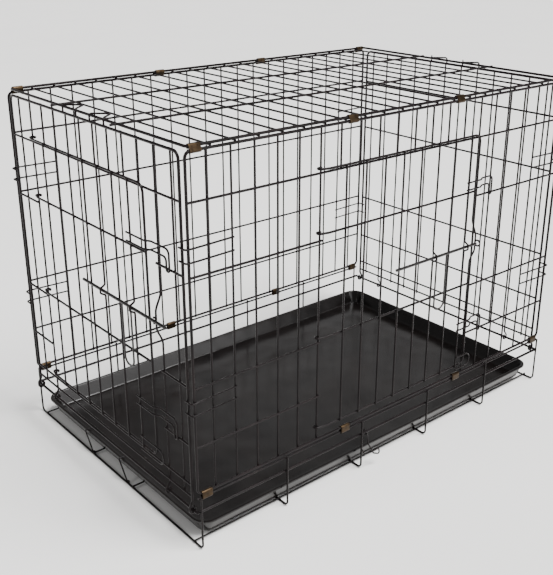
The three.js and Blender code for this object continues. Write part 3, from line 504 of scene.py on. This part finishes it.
def corner_prong(side, end, z):
    """A wire that leaves the panel at an upright, passes outside the post and turns back."""
    places = [(end * x, side * (SIDE_Y + out), z)
              for x, out in (PRONG_START, PRONG_RISE, PRONG_TURN, PRONG_TIP)]
    return wire(bent(places, PRONG_BEND), HOOK_WIRE)


def keeper_upright(place, plain_out, top, bottom):
    """An upright that swells outward to carry the keeper at the bolt's height. It leaves the panel
    where the swell starts, is out by the smooth step 3 t^2 - 2 t^3, and is flat near the bolt."""
    z = np.concatenate([[bottom], BOLT_Z + np.linspace(-KEEPER_SWELL, KEEPER_SWELL, 45), [top]])
    lift = np.clip((KEEPER_SWELL - np.abs(z - BOLT_Z)) / (KEEPER_SWELL - KEEPER_FLAT), 0, 1)
    full_out = KEEPER_OUT - KEEPER_CURL - 0.9
    out = plain_out + (full_out - plain_out) * lift * lift * (3 - 2 * lift)
    return wire(np.array([place(o, h) for o, h in zip(out, z)]), UPRIGHT_WIRE)


def side_panel(side, has_door):
    """Outline, levels, uprights, weld spots and prongs of one long side, at Y = side x SIDE_Y."""
    y = side * SIDE_Y
    upright_y = side * (SIDE_Y - UPRIGHT_INSET)
    loop = outline_path(POST_X, (SIDE_TOP - SIDE_BOTTOM) / 2, SIDE_BEND)
    middle = (SIDE_TOP + SIDE_BOTTOM) / 2
    parts = [wire(np.column_stack([loop[:, 0], np.full(len(loop), y), loop[:, 1] + middle]),
                  OUTLINE_WIRE, closed=True)]
    parts.append(straight((-POST_X, y, HEAD_Z), (POST_X, y, HEAD_Z), LEVEL_WIRE))
    reach = SIDE_DOORWAY - STUB_GAP if has_door else 0.0
    for z in STUB_Z:
        for end in (-1, 1):
            parts.append(straight((end * POST_X, y, z), (end * reach, y, z), LEVEL_WIRE))
    for x in SIDE_UPRIGHTS:
        cut = has_door and abs(x) < SIDE_DOORWAY - 1
        bottom = HEAD_Z - HEAD_OVERHANG if cut else SIDE_BOTTOM - UPRIGHT_OVERHANG
        top = SIDE_TOP + UPRIGHT_OVERHANG
        if has_door and abs(x - SIDE_DOORWAY) < 1:
            parts.append(keeper_upright(lambda out, z: (x, side * (SIDE_Y + out), z), -UPRIGHT_INSET,
                                        top, bottom))
        else:
            parts.append(straight((x, upright_y, bottom), (x, upright_y, top), UPRIGHT_WIRE))
    full = np.abs(SIDE_UPRIGHTS) > (SIDE_DOORWAY - 1 if has_door else 0)
    touch = side * (SIDE_Y - UPRIGHT_TOUCH)
    parts.append(weld_spots(crossings(SIDE_UPRIGHTS, touch, (HEAD_Z, SIDE_TOP)), (0, 1, 0)))
    parts.append(weld_spots(crossings(SIDE_UPRIGHTS[full], touch, (*STUB_Z, SIDE_BOTTOM)), (0, 1, 0)))
    parts += [corner_prong(side, end, z + shift) for end in (-1, 1) for z in CORNER_HOOK_Z
              for shift in (-PRONG_SPREAD, PRONG_SPREAD)]
    return parts


near_parts = side_panel(-1, True)
keeper_centre = np.array([SIDE_DOORWAY, -(SIDE_Y + KEEPER_OUT), BOLT_Z])
keeper_path = ring_arc(keeper_centre, KEEPER_RADIUS, -160, 160, (0, 1, 0), (0, 0, 1))
near_parts.append(wire(keeper_path, UPRIGHT_WIRE))
make_piece("near_side_wires", near_parts, wire_coat, "crate_frame", ["near_side_panel"])
make_piece("far_side_wires", side_panel(1, False), wire_coat, "crate_frame",
           ["far_side_panel"])

# ---------------------------------------------------------------- end panels
# An end panel is a heavy wire bent to a tall arch, with its feet curled round the base's end rail so
# that it folds inward on them. Level wires and uprights are welded across it, two uprights curl
# round the rail as well, and the front one has a doorway with a keeper for its bolt.
END_TOP = 660.0
END_POST_Y = 270.5
END_BEND = 12.0
END_FOOT = 92.2
END_OVERHANG = 1.2
ARCH_FOOT_Z = 110.0
HEEL_Z = 95.0
END_UPRIGHTS = (np.arange(12) - 5.5) * 44.6
FRONT_DOORWAY = 200.7
SILL_Z = 117.0
CURL_START_Z = 99.4
POST_CURL = 5.4
UPRIGHT_CURL = 4.9
CURLED_FOOT_Z = 101.0
CURL_LAP_Z = 118.0
FRONT_KEEPER_RADIUS = 5.1


def rail_curl(end, y, plain_out, radius):
    """The foot of a wire that comes down at plain_out, steps outside the end rail and wraps three
    quarters of a turn round it, as points from the top down."""
    x = end * END_X
    down = np.array([(x + end * plain_out, y, CURL_START_Z),
                     (x + end * plain_out, y, LOWER_RAIL_Z + 15),
                     (x + end * radius, y, LOWER_RAIL_Z + 4.5)])
    ring = ring_arc(np.array([x, y, LOWER_RAIL_Z]), radius, 180, 440, (-end, 0, 0), (0, 0, 1))
    return np.concatenate([bent(down, 6.0), ring])


def end_panel(end, has_door):
    """Arch, levels, uprights, curls and weld spots of one end, at X = end x END_X."""
    x = end * END_X
    upright_x = end * (END_X - UPRIGHT_INSET)
    post = rail_curl(end, -END_POST_Y, 0.0, POST_CURL)
    other = post * (1, -1, 1)
    arch = bent([(x, -END_POST_Y, ARCH_FOOT_Z), (x, -END_POST_Y, END_TOP), (x, END_POST_Y, END_TOP),
                 (x, END_POST_Y, ARCH_FOOT_Z)], END_BEND, 9)
    parts = [wire(np.concatenate([post[::-1], arch, other]), OUTLINE_WIRE)]
    for z in (HEEL_Z, SILL_Z, HEAD_Z):
        parts.append(straight((x, -END_POST_Y, z), (x, END_POST_Y, z), LEVEL_WIRE))
    reach = FRONT_DOORWAY - STUB_GAP if has_door else 0.0
    for z in STUB_Z:
        for side in (-1, 1):
            parts.append(straight((x, side * END_POST_Y, z), (x, side * reach, z), LEVEL_WIRE))
    for y in END_UPRIGHTS:
        at_edge = abs(abs(y) - FRONT_DOORWAY) < 1
        cut = has_door and abs(y) < FRONT_DOORWAY - 1
        bottom = HEAD_Z - HEAD_OVERHANG if cut else END_FOOT
        top = END_TOP + END_OVERHANG
        if at_edge:
            curl = rail_curl(end, y, -UPRIGHT_INSET, UPRIGHT_CURL)
            bottom = CURLED_FOOT_Z
            parts.append(wire(np.concatenate([[(upright_x, y, CURL_LAP_Z)], curl]), UPRIGHT_WIRE))
        if at_edge and has_door and y < 0:
            parts.append(keeper_upright(lambda out, z: (end * (END_X + out), y, z), -UPRIGHT_INSET,
                                        top, bottom))
        else:
            parts.append(straight((upright_x, y, bottom), (upright_x, y, top), UPRIGHT_WIRE))
    full = np.abs(END_UPRIGHTS) > (FRONT_DOORWAY - 1 if has_door else 0)
    touch = end * (END_X - UPRIGHT_TOUCH)
    levels = (HEEL_Z, SILL_Z, *STUB_Z)
    parts.append(weld_spots(crossings(touch, END_UPRIGHTS, (HEAD_Z, END_TOP)), (1, 0, 0)))
    parts.append(weld_spots(crossings(touch, END_UPRIGHTS[full], levels), (1, 0, 0)))
    return parts


front_parts = end_panel(-1, True)
keeper_centre = np.array([-(END_X + KEEPER_OUT), -FRONT_DOORWAY, BOLT_Z])
keeper_path = ring_arc(keeper_centre, FRONT_KEEPER_RADIUS, -88, 88, (1, 0, 0), (0, 0, 1))
front_parts.append(wire(keeper_path, UPRIGHT_WIRE))
make_piece("front_end_wires", front_parts, wire_coat, "front_end", ["front_end_panel"])
make_piece("rear_end_wires", end_panel(1, False), wire_coat, "rear_end",
           ["rear_end_panel"])

# ---------------------------------------------------------------- top hooks
# Two springy wire hooks on each end panel stand on its top wire and reach in over the top panel.
# They are lifted to let the end fold.
TOP_HOOK_Y = 44.6
TOP_HOOK_HALF = 22.3
TOP_HOOK_REACH = 27.0
TOP_HOOK_FOOT = 661.5
TOP_HOOK_Z = 673.0
for end, end_name in ((-1, "front"), (1, "rear")):
    for number, y in ((1, -TOP_HOOK_Y), (2, TOP_HOOK_Y)):
        x = end * END_X
        hook = [(x, y + TOP_HOOK_HALF, TOP_HOOK_FOOT), (x, y + TOP_HOOK_HALF, TOP_HOOK_Z),
                (x - end * TOP_HOOK_REACH, y, TOP_HOOK_Z),
                (x, y - TOP_HOOK_HALF, TOP_HOOK_Z), (x, y - TOP_HOOK_HALF, TOP_HOOK_FOOT)]
        make_piece(f"{end_name}_top_hook_wire_{number}", [wire(bent(hook, 4.5), HOOK_WIRE)], wire_coat,
                   f"{end_name}_end", [f"{end_name}_top_hook_{number}"])

# ---------------------------------------------------------------- top panel
# The top is a closed outline with twenty wires across it, welded beneath, and two heavier bars
# along it whose ends stand out past the end panels.
TOP_Z = 668.0
TOP_X = 446.4
TOP_Y = 280.5
TOP_BEND = 6.0
TOP_WIRE_Z = 664.7
TOP_WIRE_SHIFT = 8.0
TOP_WELD_Z = 666.1
TOP_BAR_Y = 97.0
TOP_BAR_X = 459.5
loop = outline_path(TOP_X, TOP_Y, TOP_BEND)
top_parts = [wire(np.column_stack([loop, np.full(len(loop), TOP_Z)]), OUTLINE_WIRE, closed=True)]
top_wires = SIDE_UPRIGHTS + TOP_WIRE_SHIFT
top_reach = TOP_Y + END_OVERHANG
for x in top_wires:
    top_parts.append(straight((x, -top_reach, TOP_WIRE_Z), (x, top_reach, TOP_WIRE_Z), UPRIGHT_WIRE))
for y in (-TOP_BAR_Y, TOP_BAR_Y):
    top_parts.append(straight((-TOP_BAR_X, y, TOP_Z), (TOP_BAR_X, y, TOP_Z), LEVEL_WIRE))
top_welds = crossings(top_wires, (-TOP_Y, -TOP_BAR_Y, TOP_BAR_Y, TOP_Y), TOP_WELD_Z)
top_parts.append(weld_spots(top_welds, (0, 0, 1)))
make_piece("top_wires", top_parts, wire_coat, "crate_frame", ["top_panel"])

# ---------------------------------------------------------------- doors
# A door is one wire bent round three sides, with two more level wires, and all four ends curl round
# an upright of the panel as hinges. Thinner uprights are welded outside the levels, two of them
# bowed over the bolt. Hairpins and a stop loop reach past the free edge over the panel's stubs.
DOOR_OUT = 7.68
DOOR_UPRIGHT_OUT = 10.98
BOLT_OUT = 15.48
HOOK_OUT = 13.58
HINGE_CURL = 4.4
DOOR_BEND = 14.0
DOOR_JOG = 14.0
DOOR_LEVELS = {"sill": 128.0, "middle": 301.0, "high": 487.0, "head": 594.0}
FRONT_HINGE_X = 449.7
SIDE_HINGE_Y = 280.2
BOW_OUT = 4.6
HAIRPIN_OUT = 7.1
HAIRPIN_TOP = 34.0
HAIRPIN_FOOT = 20.0
HAIRPIN_TIP = -2.0
HAIRPIN_BENDS = [6.0, 6.0, 9.0, 3.9, 3.9, 7.0, 6.0, 6.0]
STOP_LOOP_Z = (124.0, 150.0)
STOP_LOOP_BEND = 12.0


def on_front(along, out, z):
    """A point of the front door from its hinge: along is towards -Y and out is towards -X."""
    along, out, z = np.broadcast_arrays(along, out, z)
    return np.stack([-FRONT_HINGE_X - out, FRONT_DOORWAY - along, z], -1)


def on_side(along, out, z):
    """A point of the side door from its hinge: along is towards +X and out is towards -Y."""
    along, out, z = np.broadcast_arrays(along, out, z)
    return np.stack([along - SIDE_DOORWAY, -SIDE_HINGE_Y - out, z], -1)


def hinge_curl(point, z):
    """A curl of 255 degrees round the hinge upright, at its level, ending on the outer side."""
    a = np.radians(np.linspace(255, 0, 18))
    return point(-HINGE_CURL * np.sin(a), HINGE_CURL * np.cos(a), z)


def bowed_upright(point, along):
    """A door upright that bows outward round the bolt: straight, out past the bolt, and back."""
    front, plain = BOLT_OUT + BOW_OUT, DOOR_UPRIGHT_OUT
    z = np.array([DOOR_LEVELS["sill"] - UPRIGHT_OVERHANG, BOLT_Z - 9.5, BOLT_Z - 4.2, BOLT_Z + 4.2,
                  BOLT_Z + 9.5, DOOR_LEVELS["head"] + UPRIGHT_OVERHANG])
    out = np.array([plain, plain, front, front, plain, plain])
    return wire(bent(point(along, out, z), 3.6, 5), UPRIGHT_WIRE)


def door_parts(point, opening, edge, uprights):
    """Frame wire, levels, uprights, weld spots, hairpins and stop loop of a door whose frame ends
    at edge and whose opening is as wide as opening, both measured from the hinge."""
    z = DOOR_LEVELS
    frame_wire = np.concatenate([
        hinge_curl(point, z["head"]),
        bent(point([DOOR_JOG, edge, edge, DOOR_JOG], DOOR_OUT,
                   [z["head"], z["head"], z["sill"], z["sill"]]), DOOR_BEND, 9),
        hinge_curl(point, z["sill"])[::-1]])
    parts = [wire(frame_wire, LEVEL_WIRE)]
    for level in (z["middle"], z["high"]):
        stretch = point([DOOR_JOG, edge], DOOR_OUT, level)
        parts.append(wire(np.concatenate([hinge_curl(point, level), stretch]), LEVEL_WIRE))
    for i, along in enumerate(uprights):
        if i in (0, 2):
            parts.append(bowed_upright(point, along))
        else:
            ends = point(along, DOOR_UPRIGHT_OUT, [z["sill"] - UPRIGHT_OVERHANG,
                                                   z["head"] + UPRIGHT_OVERHANG])
            parts.append(straight(ends[0], ends[1], UPRIGHT_WIRE))
    normal = unit(point(0.0, 1.0, 0.0) - point(0.0, 0.0, 0.0))
    for level in z.values():
        parts.append(weld_spots(point(uprights, DOOR_OUT + 1.8, level), normal))
    start, tip = uprights[0] - 8, opening + 40
    turn_in, turned = edge + 4, edge + 15
    for stub in (STUB_Z[0], STUB_Z[2]):
        pin = point([start, turn_in, turned, tip, tip, tip - 8, tip - 8, turned, turn_in, start],
                    2 * [HOOK_OUT] + 6 * [HAIRPIN_OUT] + 2 * [HOOK_OUT],
                    stub + np.array(4 * [HAIRPIN_TOP] + 2 * [HAIRPIN_TIP] + 4 * [HAIRPIN_FOOT]))
        parts.append(wire(bent(pin, HAIRPIN_BENDS), HOOK_WIRE))
    stop = point([uprights[0] - 2, opening + 6, opening + 6, uprights[0] - 2], HOOK_OUT,
                 np.repeat(STOP_LOOP_Z, 2))
    parts.append(wire(bent(stop, STOP_LOOP_BEND), HOOK_WIRE))
    return parts


FRONT_DOOR_EDGE = 378.7
FRONT_DOOR_UPRIGHTS = 339.9 - 46.4 * np.arange(7)
SIDE_DOOR_EDGE = 386.7
SIDE_DOOR_UPRIGHTS = 359.7 - 44.7 * np.arange(8)
front_door = door_parts(on_front, 2 * FRONT_DOORWAY, FRONT_DOOR_EDGE, FRONT_DOOR_UPRIGHTS)
side_door = door_parts(on_side, 2 * SIDE_DOORWAY, SIDE_DOOR_EDGE, SIDE_DOOR_UPRIGHTS)
make_piece("front_door_wires", front_door, wire_coat, "front_door_leaf", ["front_door"])
make_piece("side_door_wires", side_door, wire_coat, "side_door_leaf", ["side_door"])

# ---------------------------------------------------------------- slide bolts
# A bolt is a heavy rod with a blunt rounded nose that slides behind the door's bowed uprights and
# into the keeper. A thin wire bent to a long U is welded under it as its handle.
BOLT_WIRE = 5.3
NOSE_LENGTH = 3.4
HANDLE_DROP = 108.0
HANDLE_WIDTH = 27.0
HANDLE_BEND = 12.5


def bolt_parts(point, tail, tip, leg):
    """The rod from tail to tip, with a nose whose radius falls as cos(a) while it reaches forward
    as sin(a), like the end of an ellipse, and the handle's two legs."""
    rod_path = point([tail, (tail + tip) / 2, tip - 3], BOLT_OUT, BOLT_Z)
    points, faces = wire(rod_path, BOLT_WIRE, blunt=0.8)
    n = WIRE_SIDES
    ring = points[-2 * n:-n] - points[-2 * n:-n].mean(0)
    a = np.linspace(0, np.pi / 2, 7)[1:]
    nose_path = point(tip - NOSE_LENGTH + NOSE_LENGTH * np.sin(a), BOLT_OUT, BOLT_Z)
    forward = unit(nose_path[1] - nose_path[0])
    nose = nose_path[:, None] + ring[None] * np.cos(0.97 * a)[:, None, None]
    nose = np.concatenate([(nose_path[0] - forward * 2.0)[None, None] + ring[None], nose])
    rows = len(nose)
    i = np.arange(rows - 1)[:, None] * n
    j = np.arange(n)[None]
    k = (j + 1) % n
    quads = np.stack([i + j, i + n + j, i + n + k, i + k], -1).reshape(-1, 4).tolist()
    quads += [list(range(n)), list(range(rows * n - 1, (rows - 1) * n - 1, -1))]
    foot_z = BOLT_Z - HANDLE_DROP
    handle = point([leg, leg, leg - HANDLE_WIDTH, leg - HANDLE_WIDTH], BOLT_OUT,
                   [BOLT_Z + 1, foot_z, foot_z, BOLT_Z + 1])
    handle_wire = wire(bent(handle, HANDLE_BEND, 10), HOOK_WIRE)
    return [(points, faces), (nose.reshape(-1, 3), quads), handle_wire]


# The same electrocoat on the bolts, rubbed smoother and streaked along the rod by the curls that it
# slides through.
bolt_coat, tree, shader = new_material("black_electrocoat_bolt_rubbed")
place = add(tree, "ShaderNodeTexCoord").outputs["Object"]
patches = add(tree, "ShaderNodeTexNoise", vector=place, scale=30.0, detail=4.0)
film = add(tree, "ShaderNodeValToRGB", fac=patches.outputs["Fac"])
film.color_ramp.elements[0].position = 0.35
film.color_ramp.elements[0].color = linear("0E0B0B")
film.color_ramp.elements[1].position = 0.75
film.color_ramp.elements[1].color = linear("191414")
tree.links.new(film.outputs["Color"], shader.inputs["Base Color"])
rub = add(tree, "ShaderNodeTexNoise", vector=place, scale=260.0, detail=3.0)
gloss = add(tree, "ShaderNodeMapRange", value=rub.outputs["Fac"], from_min=0.3, from_max=0.7,
            to_min=0.2, to_max=0.38)
tree.links.new(gloss.outputs["Result"], shader.inputs["Roughness"])
ripple = add(tree, "ShaderNodeBump", height=rub.outputs["Fac"], strength=0.3, distance=0.0001)
tree.links.new(ripple.outputs["Normal"], shader.inputs["Normal"])
shader.inputs["IOR"].default_value = 1.5
shader.inputs["Specular IOR Level"].default_value = 0.35
front_bolt = bolt_parts(on_front, tail=180.7, tip=436.7, leg=334.7)
side_bolt = bolt_parts(on_side, tail=168.8, tip=389.8, leg=303.7)
make_piece("front_bolt_rod", front_bolt, bolt_coat, "front_bolt", ["front_slide_bolt"])
make_piece("side_bolt_rod", side_bolt, bolt_coat, "side_bolt", ["side_slide_bolt"])

# ---------------------------------------------------------------- tray hooks
# Two thin spring wire hooks sit over the front foot wire. Each leans sideways and reaches in over
# the tray's rim to hold it, and turns down out of the way to let the tray slide.
TRAY_HOOK_WIRE = 2.6
TRAY_HOOK_X = -448.3
TRAY_HOOK_LEAN = 25.0
TRAY_HOOK_Z = 40.64
TRAY_HOOK_REACH = 15.0
TRAY_HOOK_BEND = 2.2
for number, (y, body) in enumerate([(-50.0, "tray_hook_left"), (76.0, "tray_hook_right")], 1):
    hook = [(TRAY_HOOK_X + 3.7, y, 1.3), (TRAY_HOOK_X + 3.7, y, 5.2), (TRAY_HOOK_X, y, 5.3),
            (TRAY_HOOK_X, y + TRAY_HOOK_LEAN, TRAY_HOOK_Z),
            (TRAY_HOOK_X + TRAY_HOOK_REACH, y + TRAY_HOOK_LEAN, TRAY_HOOK_Z)]
    make_piece(f"tray_hook_wire_{number}", [wire(bent(hook, TRAY_HOOK_BEND), TRAY_HOOK_WIRE)],
               wire_coat, body, [f"tray_hook_{number}"])

# ---------------------------------------------------------------- fold clip
# A thin wire clip hangs by an eye from the near lower rail. It holds the panels together when the
# crate is folded flat for carrying.
FOLD_CLIP_X = -75.6
FOLD_CLIP_EYE = 4.72
FOLD_CLIP_BEND = 3.2
FOLD_CLIP_BENDS = [(0, 8, 22), (10, 13, 44), (24, 15, 50), (24, 13, 38), (6, 12, 40), (-12, 11, 38),
                   (-18, 7, 24)]
eye_centre = np.array([FOLD_CLIP_X, -SIDE_Y, LOWER_RAIL_Z])
eye = ring_arc(eye_centre, FOLD_CLIP_EYE, -250, 0, (0, -1, 0), (0, 0, 1))
tail = [eye[-1]] + [eye_centre + (along, -out, -fall) for along, out, fall in FOLD_CLIP_BENDS]
clip_path = np.concatenate([eye[:-1], bent(tail, FOLD_CLIP_BEND)])
make_piece("fold_clip_wire", [wire(clip_path, TRAY_HOOK_WIRE)], wire_coat, "hanging_clip",
           ["fold_clip"])

# ---------------------------------------------------------------- hinge clips
# The panels are hinged by short straps of sheet steel, pressed round each pair of parallel wires
# and pinched between them. They are bronze plated, and their ends meet on the inner side.
CLIP_LENGTH = 19.6
CLIP_WALL = 1.1
CLIP_INNER = 2.9
TOP_CLIP_X = (-434.2, -130.8, 130.8, 434.2)
BASE_CLIP_X = (-434.2, -130.8, 174.4, 434.2)


def strap(x, first, second):
    """A thin flat section with broken edges carried round two wires seen end on, at first and
    second (y, z): half a turn round each, pinched in a little between them, with a seam inside."""
    first, second = np.array(first), np.array(second)
    along = unit(second - first)
    across = np.array([-along[1], along[0]])
    if across[0] * first[0] < 0:
        across = -across
    half = np.linalg.norm(second - first) / 2
    middle = (first + second) / 2
    a = np.radians(np.linspace(0, 180, 13))[:, None]
    turn_shape = CLIP_INNER * (np.cos(a) * across + np.sin(a) * along)
    near_turn = middle - half * along - turn_shape
    far_turn = middle + half * along + turn_shape
    seam = middle - (CLIP_INNER - 0.35) * across
    waist = middle + (CLIP_INNER - 0.5) * across
    path = np.concatenate([[seam - 0.35 * along], near_turn, [waist], far_turn,
                           [seam + 0.35 * along]])
    onward = unit(np.diff(path, axis=0))
    tangent = unit(np.concatenate([onward[:1], onward]) + np.concatenate([onward, onward[-1:]]))
    outward = np.column_stack([tangent[:, 1], -tangent[:, 0]])
    outward *= np.sign((outward * (path - middle)).sum(1).mean())
    section = np.array([(0.15, -0.5), (0, -0.4), (0, 0.4), (0.15, 0.5), (0.85, 0.5), (1, 0.4),
                        (1, -0.4), (0.85, -0.5)])
    side = path[:, None] + outward[:, None] * section[None, :, :1] * CLIP_WALL
    width = np.broadcast_to(x + section[None, :, 1:] * CLIP_LENGTH, (len(path), 8, 1))
    points = np.concatenate([width, side], -1).reshape(-1, 3)
    n = len(path)
    i = np.arange(n - 1)[:, None] * 8
    j = np.arange(8)[None]
    k = (j + 1) % 8
    quads = np.stack([i + j, i + k, i + 8 + k, i + 8 + j], -1).reshape(-1, 4).tolist()
    quads += [list(range(7, -1, -1)), list(range((n - 1) * 8, n * 8))]
    turn_sign = np.cross(np.r_[0, tangent[0]], np.r_[0, outward[0]])[0]
    if turn_sign > 0:
        quads = [face[::-1] for face in quads]
    return points, quads


# Bronze plate on pressed steel strip: a warm brown metal, satin, with rolling streaks along X about
# 0.3 mm apart, drawn 1 mm coarse, and darker tarnish in patches of a few millimetres.
clip_bronze, tree, shader = new_material("bronze_plated_strip")
place = add(tree, "ShaderNodeTexCoord").outputs["Object"]
tarnish = add(tree, "ShaderNodeTexNoise", vector=place, scale=160.0, detail=4.0, roughness=0.65)
tone = add(tree, "ShaderNodeValToRGB", fac=tarnish.outputs["Fac"])
tone.color_ramp.elements[0].position = 0.3
tone.color_ramp.elements[0].color = linear("251D16")
tone.color_ramp.elements[1].position = 0.7
tone.color_ramp.elements[1].color = linear("46392A")
tree.links.new(tone.outputs["Color"], shader.inputs["Base Color"])
shader.inputs["Metallic"].default_value = 1.0
rolled_place = add(tree, "ShaderNodeMapping", vector=place, scale=(60.0, 1000.0, 1000.0))
rolled = add(tree, "ShaderNodeTexNoise", vector=rolled_place.outputs["Vector"], scale=1.0, detail=3.0)
gloss = add(tree, "ShaderNodeMapRange", value=rolled.outputs["Fac"], from_min=0.3, from_max=0.7,
            to_min=0.26, to_max=0.48)
tree.links.new(gloss.outputs["Result"], shader.inputs["Roughness"])
scratch = add(tree, "ShaderNodeBump", height=rolled.outputs["Fac"], strength=0.25, distance=0.00008)
tree.links.new(scratch.outputs["Normal"], shader.inputs["Normal"])

for side, side_name in ((-1, "near"), (1, "far")):
    straps = [strap(x, (side * SIDE_Y, SIDE_TOP), (side * TOP_Y, TOP_Z)) for x in TOP_CLIP_X]
    make_piece(f"top_clips_{side_name}", straps, clip_bronze, "crate_frame",
               [f"top_clip_{side_name}_{i}" for i in range(1, 5)])
    straps = [strap(x, (side * SIDE_Y, UPPER_RAIL_Z), (side * SIDE_Y, SIDE_BOTTOM))
              for x in BASE_CLIP_X]
    make_piece(f"base_clips_{side_name}", straps, clip_bronze, "crate_frame",
               [f"base_clip_{side_name}_{i}" for i in range(1, 5)])
